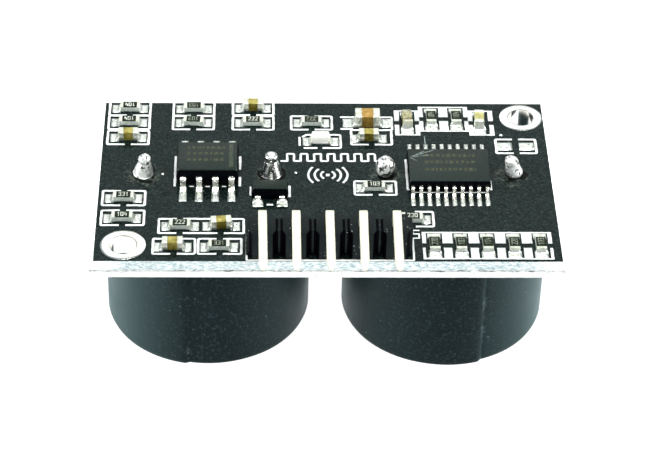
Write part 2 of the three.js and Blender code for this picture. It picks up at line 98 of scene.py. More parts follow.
class Sketch:
    """Gathers closed shapes in millimetres. place() moves what is drawn after it."""

    def __init__(self):
        self.bm = bmesh.new()
        self.matrix = Matrix.Identity(4)

    def place(self, x=0.0, y=0.0, z=0.0, turn=0.0):
        self.matrix = Matrix.Translation((x, y, z)) @ Matrix.Rotation(math.radians(turn), 4, "Z")

    def _face(self, verts, material):
        self.bm.faces.new(verts).material_index = material

    def _verts(self, points):
        return [self.bm.verts.new(self.matrix @ Vector(p)) for p in points]

    def loft(self, rings, material=0, caps=True):
        """Joins rings of points, each as long as the next. A ring may be one point."""
        made = [self._verts(ring) for ring in rings]
        for a, b in zip(made, made[1:]):
            count = max(len(a), len(b))
            for i in range(count):
                j = (i + 1) % count
                corners = []
                for ring, index in ((a, i), (a, j), (b, j), (b, i)):
                    vert = ring[index] if len(ring) > 1 else ring[0]
                    if vert not in corners:
                        corners.append(vert)
                self._face(corners, material)
        if caps and len(made[0]) > 2:
            self._face(made[0][::-1], material)
        if caps and len(made[-1]) > 2:
            self._face(made[-1], material)
        return made

    def box(self, low, high, material=0, bevel=0.0, segments=2):
        (x0, y0, z0), (x1, y1, z1) = low, high
        self.prism([(x0, y0), (x1, y0), (x1, y1), (x0, y1)], z0, z1, material, bevel, segments)

    def ends(self, inner, outer, half_width, z0, z1, material, bevel=0.0, segments=2):
        """A box at each end of a chip, from x = inner to x = outer, and mirrored."""
        for side in (-1, 1):
            x0, x1 = sorted((side * inner, side * outer))
            self.box((x0, -half_width, z0), (x1, half_width, z1), material, bevel, segments)

    def prism(self, outline, z0, z1, material=0, bevel=0.0, segments=2):
        made = self.loft([[(x, y, z) for x, y in outline] for z in (z0, z1)], material)
        if bevel:
            self._bevel([v for r in made for v in r], bevel, segments, material)

    def _bevel(self, verts, offset, segments, material):
        edges = {e for v in verts for e in v.link_edges}
        made = bmesh.ops.bevel(
            self.bm, geom=list(edges), offset=offset, segments=segments, profile=0.6, affect="EDGES"
        )
        for face in made["faces"]:
            face.material_index = material

    def turned(self, profile, steps, material=0, wobble=0.0, lean=0.0, seed=0.0):
        """Turns (radius, z) corners about the z axis. wobble makes it lumpy, and lean tilts it along x."""
        rings = []
        for r, z in profile:
            cx = lean * z
            if r == 0:
                rings.append([(cx, 0, z)])
                continue
            ring = []
            for i in range(steps):
                a = 2 * math.pi * i / steps
                lump = noise.noise(Vector((math.cos(a) * 1.3 + seed, math.sin(a) * 1.3, z * 1.6 + seed)))
                rr = r * (1 + wobble * lump)
                ring.append((cx + rr * math.cos(a), rr * math.sin(a), z))
            rings.append(ring)
        self.loft(rings, material)

    def tube_ring(self, profile, steps, wobble=0.0, seed=0.0):
        """Turns a closed (radius, z) outline about the z axis, as on a washer or a cup."""
        sections = []
        for i in range(steps):
            a = 2 * math.pi * i / steps
            lump = wobble * noise.noise(Vector((math.cos(a) * 2 + seed, math.sin(a) * 2, seed)))
            sections.append([((r + lump) * math.cos(a), (r + lump) * math.sin(a), z) for r, z in profile])
        self.closed_tube(sections)

    def closed_tube(self, sections):
        """Joins closed outlines of equal length, and the last of them to the first."""
        made = [self._verts(section) for section in sections]
        for a, b in zip(made, made[1:] + made[:1]):
            for k in range(len(a)):
                n = (k + 1) % len(a)
                self._face([a[k], b[k], b[n], a[n]], 0)

    def ribbon(self, points, width, z0, z1, material=0, ripple=0.0):
        """A flat strip along a line of points. ripple makes its edges uneven, as printed lines are."""
        step = 0.25
        path = []
        for a, b in zip(points, points[1:]):
            count = max(1, round(math.dist(a, b) / step)) if ripple else 1
            path += [Vector(a).lerp(Vector(b), i / count) for i in range(count)]
        path.append(Vector(points[-1]))
        sections = []
        for i, p in enumerate(path):
            before = (p - path[i - 1]).normalized() if i else Vector((0, 0))
            after = (path[i + 1] - p).normalized() if i + 1 < len(path) else Vector((0, 0))
            along = (before + after).normalized()
            side = Vector((-along.y, along.x))
            nearest = after if i == 0 else before
            mitre = max(abs(side.dot(Vector((-nearest.y, nearest.x)))), 0.5)
            edges = []
            for sign in (-1, 1):
                uneven = ripple * noise.noise(Vector((p.x * 2.1 + sign * 9, p.y * 2.1, 3.0)))
                edges.append(p + side * sign * (width / 2 / mitre + uneven))
            (ax, ay), (bx, by) = edges
            sections.append([(ax, ay, z0), (ax, ay, z1), (bx, by, z1), (bx, by, z0)])
        self.loft(sections, material)

    def wire(self, points, radius):
        """A round wire along a line of points, smoothed at its corners."""
        sides = 8
        points = [Vector(p) for p in points]
        path = [points[0]]
        for a, b, c in zip(points, points[1:], points[2:]):
            path += bend((a + b) / 2, b, (b + c) / 2)
        path.append(points[-1])
        rings = []
        for before, p, after in zip(path[:1] + path, path, path[1:] + path[-1:]):
            along = (after - before).normalized()
            across = along.orthogonal() if abs(along.y) > 0.9 else along.cross(Vector((0, 1, 0))).normalized()
            third = along.cross(across)
            rings.append([p + across * u + third * v for u, v in circle(0, 0, radius, sides)])
        self.loft(rings)

    def strokes(self, lines, width, z0, z1, material=0):
        """A ribbon along each line of points, each a hair thicker than the one before."""
        for i, line in enumerate(lines):
            ends = [Vector(line[0]), Vector(line[-1])]
            ends[0] += (ends[0] - Vector(line[1])).normalized() * width * 0.45
            ends[1] += (ends[1] - Vector(line[-2])).normalized() * width * 0.45
            self.ribbon([ends[0], *line[1:-1], ends[1]], width, z0, z1 + 0.0006 * i, material)

    def patch(self, low, high, height, cells):
        """A lump of solder over a rectangle. height(u, v) gives its top, with u and v from 0 to 1."""
        depth = 0.02
        (x0, y0), (x1, y1) = low, high
        nu, nv = cells
        grid = []
        for i in range(nu + 1):
            row = []
            for j in range(nv + 1):
                u, v = i / nu, j / nv
                row.append((x0 + (x1 - x0) * u, y0 + (y1 - y0) * v, max(height(u, v), 0.004)))
            grid.append(self._verts(row))
        for i in range(nu):
            for j in range(nv):
                self._face([grid[i][j], grid[i + 1][j], grid[i + 1][j + 1], grid[i][j + 1]], 0)
        rim = [grid[i][0] for i in range(nu + 1)] + [grid[nu][j] for j in range(1, nv + 1)]
        rim += [grid[i][nv] for i in range(nu - 1, -1, -1)] + [grid[0][j] for j in range(nv - 1, 0, -1)]
        below = [self.matrix.inverted() @ v.co for v in rim]
        foot = self._verts([(p.x, p.y, -depth) for p in below])
        for i, v in enumerate(rim):
            j = (i + 1) % len(rim)
            self._face([v, foot[i], foot[j], rim[j]], 0)
        self._face(foot[::-1], 0)


def piece(name, sketch, materials, replaces=(), smooth=40):
    """Turns a sketch into an object in the model's frame, which rides on the sensor's one body."""
    bmesh.ops.recalc_face_normals(sketch.bm, faces=sketch.bm.faces)
    mesh = bpy.data.meshes.new(name)
    sketch.bm.to_mesh(mesh)
    sketch.bm.free()
    mesh.transform(TO_FRAME)
    for material in materials:
        mesh.materials.append(material)
    for polygon in mesh.polygons:
        polygon.use_smooth = True
    mesh.set_sharp_from_angle(angle=math.radians(smooth))
    obj = bpy.data.objects.new(name, mesh)
    bpy.context.scene.collection.objects.link(obj)
    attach(obj, "root")
    if replaces:
        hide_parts(*replaces)


# ---- Materials ----


class Shader:
    """A Principled material with short calls for the nodes that feed it."""

    def __init__(self, name, color, roughness=0.5, metallic=0.0, specular=0.5, **sockets):
        self.material = bpy.data.materials.new(name)
        self.material.use_nodes = True
        self.tree = self.material.node_tree
        self.bsdf = self.tree.nodes["Principled BSDF"]
        self.set("Base Color", (*color, 1.0))
        self.set("Roughness", roughness)
        self.set("Metallic", metallic)
        self.set("Specular IOR Level", specular)
        for socket, value in sockets.items():
            self.set(socket.replace("_", " "), value)
        self.coords = self.tree.nodes.new("ShaderNodeTexCoord").outputs["Object"]

    def set(self, socket, value):
        self.bsdf.inputs[socket].default_value = value

    def node(self, kind, inputs, **properties):
        made = self.tree.nodes.new("ShaderNode" + kind)
        for key, value in properties.items():
            setattr(made, key, value)
        for key, value in inputs.items():
            if isinstance(value, bpy.types.NodeSocket):
                self.tree.links.new(value, made.inputs[key])
            else:
                made.inputs[key].default_value = value
        return made

    def stretched(self, x, y, z):
        """Coordinates in cycles for each millimetre along each axis."""
        scale = {"Vector": self.coords, "Scale": (x / MM, y / MM, z / MM)}
        return self.node("Mapping", scale).outputs["Vector"]

    def noise(self, scale, detail=3.0, rough=0.55, vector=None):
        """Noise with that many cycles in a millimetre."""
        vector = vector or self.stretched(scale, scale, scale)
        inputs = {"Vector": vector, "Scale": 1.0, "Detail": detail, "Roughness": rough}
        return self.node("TexNoise", inputs).outputs["Fac"]

    def cells(self, scale):
        """The distance to the nearest of scattered points, with that many of them in a millimetre."""
        inputs = {"Vector": self.stretched(scale, scale, scale), "Scale": 1.0}
        return self.node("TexVoronoi", inputs).outputs["Distance"]

    def steps(self, value, low, high, to_low=0.0, to_high=1.0):
        """Maps low..high to to_low..to_high, and holds it outside."""
        inputs = {"Value": value, "From Min": low, "From Max": high, "To Min": to_low, "To Max": to_high}
        return self.node("MapRange", inputs).outputs["Result"]

    def math(self, operation, a, b):
        return self.node("Math", {0: a, 1: b}, operation=operation).outputs[0]

    def times(self, a, b):
        return self.math("MULTIPLY", a, b)

    def near(self, point, inner_mm, outer_mm, most=1.0, least=0.0, vector=None):
        """most within inner_mm of a point, and least beyond outer_mm."""
        ends = {0: vector or self.coords, 1: tuple(point)}
        away = self.node("VectorMath", ends, operation="DISTANCE").outputs["Value"]
        return self.steps(away, inner_mm * MM, outer_mm * MM, most, least)

    def mix(self, factor, a, b):
        """Blends two colours. Sockets 6 and 7 of the node take them, and 2 gives the result."""
        a, b = ((*tone, 1.0) if isinstance(tone, tuple) else tone for tone in (a, b))
        return self.node("Mix", {0: factor, 6: a, 7: b}, data_type="RGBA").outputs[2]

    def tones(self, value, low, high, first, second):
        """A colour that goes from first to second as a value goes from low to high."""
        return self.mix(self.steps(value, low, high), first, second)

    def into(self, socket, value):
        self.tree.links.new(value, self.bsdf.inputs[socket])
        return self

    def bump(self, height, distance_mm):
        inputs = {"Height": height, "Distance": distance_mm * MM}
        return self.into("Normal", self.node("Bump", inputs).outputs["Normal"])

    def patterned(self, pattern, low, high, first, second, bump_mm, rough=None):
        """Colours, roughens and embosses the surface by one pattern, and gives the finished material."""
        self.into("Base Color", self.tones(pattern, low, high, first, second))
        if rough:
            self.into("Roughness", self.steps(pattern, 0.3, 0.7, *rough))
        return self.bump(pattern, bump_mm).material


# The blue-green tint of the reflections on dark surfaces.
COOL = (0.74, 1.0, 0.97, 1.0)
TERMINALS = [f"{side}_pin_{end}" for side in ("left", "right") for end in ("a", "b")]


def solder_mask():
    """Near-black lacquer, glossy, with flux left round the hand-soldered pins and fine dust."""
    s = Shader("solder_mask", (0.008, 0.012, 0.012), 0.12, specular=0.12, Specular_Tint=COOL)
    color = s.tones(s.noise(4.2, 5, 0.85), 0.38, 0.62, (0.0, 0.001, 0.002), (0.007, 0.014, 0.012))
    grain = s.steps(s.noise(5.2, 3, 0.8), 0.50, 0.72)
    color = s.mix(s.times(grain, 0.8), color, (0.036, 0.050, 0.047))
    flux = 0.0
    for node in TERMINALS:
        pin = node_centre(node)
        flux = s.math("MAXIMUM", s.near(frame_point(pin.x, pin.y), 0.9, 2.9), flux)
    stain = s.steps(s.times(flux, s.noise(1.1, 6, 0.7)), 0.34, 0.50)
    streaks = s.steps(s.noise(3.5, 4, 0.7), 0.44, 0.62)
    color = s.mix(s.times(s.times(stain, streaks), 0.9), color, (0.085, 0.100, 0.078))
    for density, size in ((1.9, 0.07), (3.4, 0.10)):
        dust_and_flank_light = s.steps(s.cells(density), size * 0.5, size, 1.0, 0.0)
        dust_and_flank_light = s.times(dust_and_flank_light, s.steps(s.noise(density * 0.2, 2), 0.5, 0.6))
        color = s.mix(s.times(dust_and_flank_light, 0.45), color, (0.24, 0.30, 0.30))
    s.into("Base Color", color)
    rough = s.steps(s.noise(0.9, 5, 0.7), 0.3, 0.7, 0.08, 0.17)
    s.into("Roughness", s.math("ADD", rough, s.times(stain, 0.12)))
    return s.bump(s.math("ADD", s.noise(1.2, 3, 0.5), s.times(stain, 0.8)), 0.006).material


def laminate():
    """The scored edge of glass fibre laminate: pale, with darker fibres and specks, and white corners."""
    s = Shader("laminate", (0.72, 0.78, 0.78), 0.6, specular=0.4)
    fibres = s.noise(1.0, 6, 0.8, s.stretched(2.6, 2.6, 11.0))
    specks = s.noise(5.0, 3, 0.7)
    color = s.tones(fibres, 0.42, 0.58, (0.30, 0.42, 0.45), (0.88, 0.92, 0.92))
    color = s.tones(specks, 0.60, 0.72, color, (0.20, 0.25, 0.26))
    for sign in (-1, 1):
        corner = frame_point(sign * BOARD_WIDTH / 2, -BOARD_DEPTH / 2)
        color = s.mix(s.near(corner, 0.6, 2.6, 0.9), color, (0.94, 0.96, 0.96))
    s.into("Base Color", color)
    return s.bump(s.math("ADD", fibres, specks), 0.05).material


def pale_floor_lit_laminate():
    """The lower edge and the two short sides: nearly white, which on the lower edge is painted light from the
    bright floor.
    """
    s = Shader("pale_floor_lit_laminate", (0.94, 0.95, 0.93), 0.6, specular=0.4)
    fibres = s.noise(1.0, 6, 0.75, s.stretched(1.4, 1.4, 9.0))
    return s.patterned(fibres, 0.40, 0.55, (0.72, 0.76, 0.74), (0.97, 0.98, 0.96), 0.03)


def torn_laminate():
    """The strip where the board was snapped off its panel: rougher and dirtier."""
    s = Shader("torn_laminate", (0.5, 0.52, 0.5), 0.75, specular=0.3)
    torn = s.noise(1.0, 6, 0.8, s.stretched(1.6, 1.6, 5.0))
    return s.patterned(torn, 0.44, 0.56, (0.14, 0.14, 0.14), (0.92, 0.93, 0.92), 0.12)


def silk_ink():
    """White legend ink, greyer where it is worn."""
    s = Shader("silk_ink", (0.86, 0.88, 0.87), 0.55, specular=0.3)
    worn = s.noise(4.0, 4, 0.7)
    return s.patterned(worn, 0.66, 0.78, (0.80, 0.81, 0.80), (0.45, 0.50, 0.50), 0.015)


def bright_solder():
    """Reflowed solder: bright, with frosted patches and small pits."""
    s = Shader("bright_solder", (0.86, 0.87, 0.85), 0.25, metallic=1.0)
    frost = s.noise(3.2, 4, 0.65)
    pits = s.steps(s.cells(3.6), 0.12, 0.24, 1.0, 0.0)
    pits = s.times(pits, s.steps(s.noise(1.3, 2), 0.44, 0.52))
    color = s.tones(frost, 0.42, 0.62, (0.96, 0.97, 0.93), (0.66, 0.70, 0.62))
    s.into("Base Color", s.mix(pits, color, (0.05, 0.05, 0.04)))
    s.into("Roughness", s.steps(frost, 0.35, 0.7, 0.22, 0.45))
    return s.bump(s.math("SUBTRACT", frost, pits), 0.025).material


def plating():
    """Tin levelled by hot air in the mounting holes: smooth and mirror-like, faintly yellow."""
    s = Shader("hole_plating", (0.93, 0.91, 0.84), 0.14, metallic=1.0)
    wave = s.noise(0.7, 3, 0.5)
    return s.patterned(wave, 0.35, 0.7, (0.97, 0.97, 0.95), (0.93, 0.92, 0.84), 0.012, (0.12, 0.22))


def hand_solder(name, smoothest, roughest, burnt_from, bump_mm, metallic):
    """Solder put on with an iron: uneven, with pits of burnt flux, more of them the lower burnt_from is."""
    s = Shader(name, (0.92, 0.92, 0.90), roughest, metallic=metallic)
    swirl = s.noise(1.5, 5, 0.6)
    burnt = s.steps(s.noise(2.3, 4, 0.75), burnt_from, burnt_from + 0.05)
    color = s.tones(swirl, 0.35, 0.65, (0.99, 0.99, 0.98), (0.84, 0.85, 0.82))
    s.into("Base Color", s.mix(burnt, color, (0.02, 0.022, 0.018)))
    s.into("Roughness", s.steps(swirl, 0.3, 0.7, smoothest, roughest))
    return s.bump(s.math("SUBTRACT", swirl, burnt), bump_mm).material


def tinned_pin():
    """Plated pins: pale and slightly creamy, with fine drawing lines."""
    s = Shader("tinned_pin", (0.95, 0.93, 0.84), 0.32, metallic=0.6)
    drawn = s.noise(1.0, 3, 0.6, s.stretched(9.0, 0.8, 9.0))
    s.into("Base Color", s.mix(drawn, (0.90, 0.89, 0.74), (0.82, 0.80, 0.62)))
    s.into("Roughness", s.steps(drawn, 0.3, 0.7, 0.24, 0.42))
    return s.bump(drawn, 0.012).material


def plated_lead():
    """Tinned leads of the packages: bright, a little yellow, with dark pits where the tin is thin."""
    s = Shader("plated_lead", (0.93, 0.92, 0.86), 0.26, metallic=1.0)
    thin = s.steps(s.noise(3.4, 4, 0.75), 0.56, 0.62)
    color = s.mix(s.noise(1.4, 3), (0.98, 0.98, 0.95), (0.90, 0.88, 0.76))
    s.into("Base Color", s.mix(thin, color, (0.16, 0.14, 0.09)))
    s.into("Roughness", s.steps(thin, 0.0, 1.0, 0.22, 0.45))
    return s.bump(thin, -0.02).material


def header_plastic():
    """The header's black moulding: satin and grainy, with pale specks of dust."""
    s = Shader("header_plastic", (0.008, 0.010, 0.012), 0.34, specular=0.14, Specular_Tint=COOL)
    grain = s.noise(7.0, 3)
    color = s.mix(s.noise(1.2, 3), (0.001, 0.001, 0.002), (0.006, 0.009, 0.009))
    specks = s.steps(s.cells(3.0), 0.08, 0.15, 1.0, 0.0)
    specks = s.times(specks, s.steps(s.noise(0.8, 2), 0.50, 0.56))
    s.into("Base Color", s.mix(s.times(specks, 0.75), color, (0.50, 0.56, 0.56)))
    s.into("Roughness", s.steps(grain, 0.3, 0.7, 0.26, 0.44))
    return s.bump(grain, 0.02).material


def moulded_epoxy(name, shine):
    """Moulding compound of the packages: matte, grey-green, faintly speckled with filler."""
    s = Shader(name, (0.010, 0.013, 0.010), 0.4, specular=shine, Specular_Tint=COOL)
    filler = s.noise(7.0, 4, 0.8)
    s.into("Base Color", s.tones(filler, 0.38, 0.66, (0.001, 0.002, 0.002), (0.010, 0.016, 0.009)))
    s.into("Roughness", s.steps(s.noise(2.0, 3), 0.3, 0.7, 0.24, 0.34))
    return s.bump(filler, 0.02).material


def laser_mark(name, dim, bright):
    """Where a laser has greyed the moulding compound, a little patchily."""
    s = Shader(name, bright, 0.5, specular=0.35, Specular_Tint=COOL)
    return s.patterned(s.noise(6.0, 3, 0.7), 0.35, 0.65, dim, bright, 0.01)


def plain(name, dark, light, roughness, scale=4.0, bump_mm=0.01, **settings):
    """A fired, moulded, plated or printed surface whose colour drifts between two tones."""
    s = Shader(name, light, roughness, **settings)
    rough = (roughness * 0.85, min(1.0, roughness * 1.2))
    return s.patterned(s.noise(scale, 4, 0.65), 0.32, 0.68, dark, light, bump_mm, rough)


# How much painted highlight each sleeve's flanks carry towards two directions, in degrees round it.
LIT_FLANKS = {
    "left": {-150: 1.0, -25: 0.5},
    "right": {-150: 0.5, -25: 1.0},
}


def round_the_sleeve(side, angle):
    """A point of the frame on the outside of a sleeve, at an angle in degrees, with no height."""
    can = node_centre(f"{side}_can")
    reach = SLEEVE_INNER + SLEEVE_THICK
    turn = math.radians(angle)
    spot = frame_point(can.x + reach * math.cos(turn), can.y + reach * math.sin(turn))
    return (spot.x, spot.y, 0.0)


def rubber(side):
    """Satin rubber sleeve: blue-black, with a painted highlight on its flanks, lint, and pale scuffs along
    its seam.
    """
    sheen = {"Sheen_Weight": 0.19, "Sheen_Roughness": 0.35, "Sheen_Tint": (0.50, 0.95, 1.0, 1.0)}
    tint = (0.56, 0.96, 1.0, 1.0)
    s = Shader(f"{side}_rubber", (0.006, 0.009, 0.012), 0.46, specular=0.13, Specular_Tint=tint, **sheen)
    rub = s.noise(0.22, 5, 0.6)
    color = s.tones(rub, 0.40, 0.72, (0.0, 0.0006, 0.0016), (0.002, 0.005, 0.007))
    streaks = s.noise(1.0, 4, 0.7, s.stretched(2.6, 2.6, 0.16))
    color = s.tones(streaks, 0.62, 0.84, color, (0.014, 0.023, 0.025))
    flat = s.node("VectorMath", {0: s.coords, 1: (1.0, 1.0, 0.0)}, operation="MULTIPLY").outputs["Vector"]
    # Painted highlight: the flanks are made lighter blue-green where the side lamps light them.
    for angle, dust_and_flank_light in LIT_FLANKS[side].items():
        flank = s.near(round_the_sleeve(side, angle), 1.0, 7.5, dust_and_flank_light, vector=flat)
        color = s.mix(flank, color, (0.020, 0.037, 0.038))
    grain = s.noise(4.2, 3, 0.7)
    color = s.tones(grain, 0.52, 0.74, color, (0.022, 0.036, 0.040))
    seam = round_the_sleeve(side, SLEEVE_SEAMS[side])
    scuffs = s.times(s.near(seam, 0.1, 0.9, vector=flat), s.noise(2.6, 6, 0.8))
    scuffs = s.times(scuffs, s.steps(s.noise(0.35, 3), 0.40, 0.62, 0.7, 1.15))
    color = s.mix(s.steps(scuffs, 0.42, 0.60, 0.0, 0.6), color, (0.09, 0.125, 0.12))
    lint = s.steps(s.cells(1.3), 0.05, 0.085, 1.0, 0.0)
    lint = s.times(lint, s.steps(s.noise(0.4, 2), 0.46, 0.58))
    s.into("Base Color", s.mix(s.times(lint, 0.7), color, (0.20, 0.26, 0.26)))
    torn = s.near(seam, 0.1, 0.7, 0.62, 0.3, flat)
    s.into("Roughness", s.math("MAXIMUM", torn, s.steps(rub, 0.3, 0.7, 0.34, 0.50)))
    return s.bump(s.math("ADD", grain, s.times(streaks, 0.6)), 0.012).material


def ceramic(name, dark, light, specular, scale=2.2):
    """The fired body of a capacitor."""
    return plain(f"capacitor_{name}", dark, light, 0.42, scale, specular=specular)


def brushed(name, color, roughness):
    """Bare metal with fine lines along the object's height."""
    s = Shader(name, color, roughness, metallic=1.0)
    lines = s.noise(1.0, 4, 0.7, s.stretched(6.0, 6.0, 0.6))
    dark = tuple(c * 0.82 for c in color)
    s.into("Base Color", s.mix(lines, color, dark))
    s.into("Roughness", s.steps(lines, 0.3, 0.7, roughness * 0.8, roughness * 1.25))
    return s.bump(lines, 0.01).material


MASK = solder_mask()
LAMINATE = laminate()
PALE_FLOOR_LIT = pale_floor_lit_laminate()
TORN = torn_laminate()
SILK = silk_ink()
SOLDER = bright_solder()
HAND_SOLDER = hand_solder("hand_solder", 0.12, 0.30, 0.62, 0.03, 1.0)
FROSTED_SOLDER = hand_solder("frosted_solder", 0.22, 0.42, 0.565, 0.08, 0.70)
PITTED_SOLDER = hand_solder("pitted_solder", 0.20, 0.38, 0.505, 0.10, 0.68)
LEAD = plated_lead()
PLATING = plating()
PIN = tinned_pin()
HEADER = header_plastic()
# Painted shade: near-black plastic for the header's notches.
HEADER_SHADE = plain("header_painted_shade", (0.0, 0.0, 0.001), (0.002, 0.002, 0.004), 0.5, specular=0.02)
EPOXY = moulded_epoxy("moulded_epoxy", 0.38)
DULL_EPOXY = moulded_epoxy("dull_epoxy", 0.24)
# Painted shade: the packages' sides are near-black because little light reaches them.
EPOXY_SHADED_SIDE = plain("moulded_side_painted_shade", (0.0, 0.0002, 0.001), (0.0015, 0.002, 0.004), 0.45, specular=0.05)
MARK = laser_mark("laser_mark", (0.012, 0.016, 0.009), (0.060, 0.068, 0.045))
FAINT_MARK = laser_mark("faint_mark", (0.012, 0.015, 0.006), (0.070, 0.074, 0.036))
SCRATCH = laser_mark("scratch", (0.08, 0.10, 0.09), (0.30, 0.35, 0.33))
BLACK_POOL = plain("black_pool", (0.0, 0.0, 0.0), (0.006, 0.008, 0.007), 0.4, 2.5, 0.03, specular=0.05)
ALUMINA = plain("alumina", (0.40, 0.45, 0.41), (0.62, 0.67, 0.62), 0.45, specular=0.4)
OVERCOAT = plain("resistor_overcoat", (0.003, 0.006, 0.001), (0.010, 0.017, 0.007), 0.3, specular=0.12)
CODE = plain("code_ink", (0.22, 0.26, 0.20), (0.80, 0.84, 0.75), 0.5, 1.6)
FAINT_CODE = plain("faint_code_ink", (0.06, 0.08, 0.05), (0.34, 0.38, 0.30), 0.5, 1.6)
END_METAL = plain("end_metal", (0.60, 0.63, 0.50), (0.95, 0.96, 0.88), 0.3, 3.0, 0.03, metallic=0.8)
STAINED_METAL = plain("stained_metal", (0.10, 0.09, 0.04), (0.74, 0.74, 0.60), 0.4, 1.5, 0.03, metallic=0.4)
OCHRE = ceramic("ochre", (0.16, 0.12, 0.014), (0.46, 0.41, 0.12), 0.2)
# Painted shade: darker copies of the capacitors' ceramic, used for their sides.
OCHRE_SHADED_SIDE = ceramic("ochre_painted_shade", (0.04, 0.033, 0.004), (0.20, 0.165, 0.026), 0.1, 1.6)
WARM_SHADED_SIDE = ceramic("warm_painted_shade", (0.09, 0.075, 0.012), (0.30, 0.25, 0.055), 0.1, 1.6)
PALE_OCHRE = ceramic("pale_ochre", (0.26, 0.25, 0.08), (0.52, 0.50, 0.22), 0.2)
ORANGE_SHADED_SIDE = ceramic("orange_painted_shade", (0.10, 0.06, 0.010), (0.28, 0.18, 0.035), 0.1)
ORANGE = ceramic("orange", (0.26, 0.13, 0.02), (0.45, 0.29, 0.08), 0.25)
OLIVE = ceramic("olive", (0.07, 0.06, 0.02), (0.50, 0.47, 0.28), 0.25, 3.0)
CAN = brushed("can_aluminium", (0.80, 0.81, 0.82), 0.32)
WIRE = brushed("screen_wire", (0.62, 0.63, 0.64), 0.35)
CONE = brushed("cone_aluminium", (0.84, 0.84, 0.85), 0.28)
PHENOLIC = plain("phenolic", (0.030, 0.022, 0.016), (0.060, 0.046, 0.032), 0.6)
SILICONE = plain("silicone", (0.66, 0.65, 0.60), (0.80, 0.79, 0.74), 0.4)
PIEZO = plain("piezo_ceramic", (0.48, 0.44, 0.35), (0.66, 0.61, 0.49), 0.55)
LED_CASE = plain("led_case", (0.86, 0.86, 0.82), (0.95, 0.95, 0.92), 0.35)
LED_LENS = plain("led_lens", (0.90, 0.89, 0.80), (0.97, 0.96, 0.90), 0.2, specular=0.6)


# ---- The circuit board ----

# How deep the panel was scored from each face, and how far the middle of the edge stands out from there.
SCORE_DEPTH = 0.65
SCORE_INSET = 0.3
HOLES = [(-15.7, -8.2), (16.1, 8.2)]
HOLE_RADIUS = 1.1
LAND_RADIUS = 1.75


def rectangle(half_x, half_y, step):
    """Points round a rectangle, about a step apart."""
    corners = [(-half_x, -half_y), (half_x, -half_y), (half_x, half_y), (-half_x, half_y)]
    points = []
    for (ax, ay), (bx, by) in zip(corners, corners[1:] + corners[:1]):
        count = round(math.dist((ax, ay), (bx, by)) / step)
        points += [(ax + (bx - ax) * i / count, ay + (by - ay) * i / count) for i in range(count)]
    return points


def board():
    """A sheet with scored and snapped edges and two holes.

    Its materials are 0 the mask, 1 rough laminate, 2 the torn strip and 3 pale laminate, painted whiter on
    the lower edge as floor light.
    """
    sketch = Sketch()
    bm = sketch.bm
    nominal = rectangle(BOARD_WIDTH / 2, BOARD_DEPTH / 2, 0.22)
    lower = BOARD_THICKNESS - SCORE_DEPTH
    # How deep, how far out and how rough each level of the edge is.
    levels = [
        (0.0, 0.0, 0.012),
        (SCORE_DEPTH * 0.25, SCORE_INSET * 0.25, 0.03),
        (SCORE_DEPTH * 0.5, SCORE_INSET * 0.5, 0.025),
        (SCORE_DEPTH * 0.75, SCORE_INSET * 0.75, 0.03),
        (SCORE_DEPTH, SCORE_INSET * 0.94, 0.05),
        (SCORE_DEPTH + 0.06, SCORE_INSET * 0.9, 0.12),
        ((SCORE_DEPTH + lower) / 2, SCORE_INSET * 0.8, 0.14),
        (lower - 0.06, SCORE_INSET * 0.9, 0.12),
        (lower, SCORE_INSET * 0.94, 0.05),
        (lower + SCORE_DEPTH * 0.5, SCORE_INSET * 0.5, 0.025),
        (BOARD_THICKNESS, 0.0, 0.012),
    ]
    torn = range(4, 6)
    rings = []
    for depth, out, rough in levels:
        ring = []
        for x, y in nominal:
            jag = rough * noise.noise(Vector((x * 2.3, y * 2.3, depth * 6)))
            jag += rough * 0.5 * noise.noise(Vector((x * 7, y * 7, depth * 9)))
            grow = min(out + jag, SCORE_INSET) if depth not in (0.0, BOARD_THICKNESS) else jag
            ring.append((x * (1 + 2 * grow / BOARD_WIDTH), y * (1 + 2 * grow / BOARD_DEPTH), -depth))
        rings.append(ring)
    made = sketch.loft(rings, 1, caps=False)
    count = len(nominal)
    bm.normal_update()
    # The lower edge and the short sides get the pale laminate; on the lower edge its whiteness is painted
    # light from the floor.
    for k, face in enumerate(bm.faces):
        if k // count in torn:
            face.material_index = 2
        elif k // count > max(torn) or abs(face.normal.x) > abs(face.normal.y):
            face.material_index = 3
    bores = []
    for x, y in HOLES:
        outline = circle(x, y, HOLE_RADIUS, 48)
        rims = [[(px, py, z) for px, py in outline] for z in (0, -BOARD_THICKNESS)]
        bores.append(sketch.loft(rims, 1, caps=False))
    for level in (0, -1):
        loops = [made[level]] + [walls[level] for walls in bores]
        edges = [bm.edges.get(pair) for loop in loops for pair in zip(loop, loop[1:] + loop[:1])]
        filled = bmesh.ops.triangle_fill(bm, use_beauty=True, use_dissolve=False, edges=edges)
        for item in filled["geom"]:
            if isinstance(item, bmesh.types.BMFace):
                item.material_index = 0
    materials = [MASK, LAMINATE, TORN, PALE_FLOOR_LIT]
    piece("circuit_board_detail", sketch, materials, ["circuit_board"], 30)


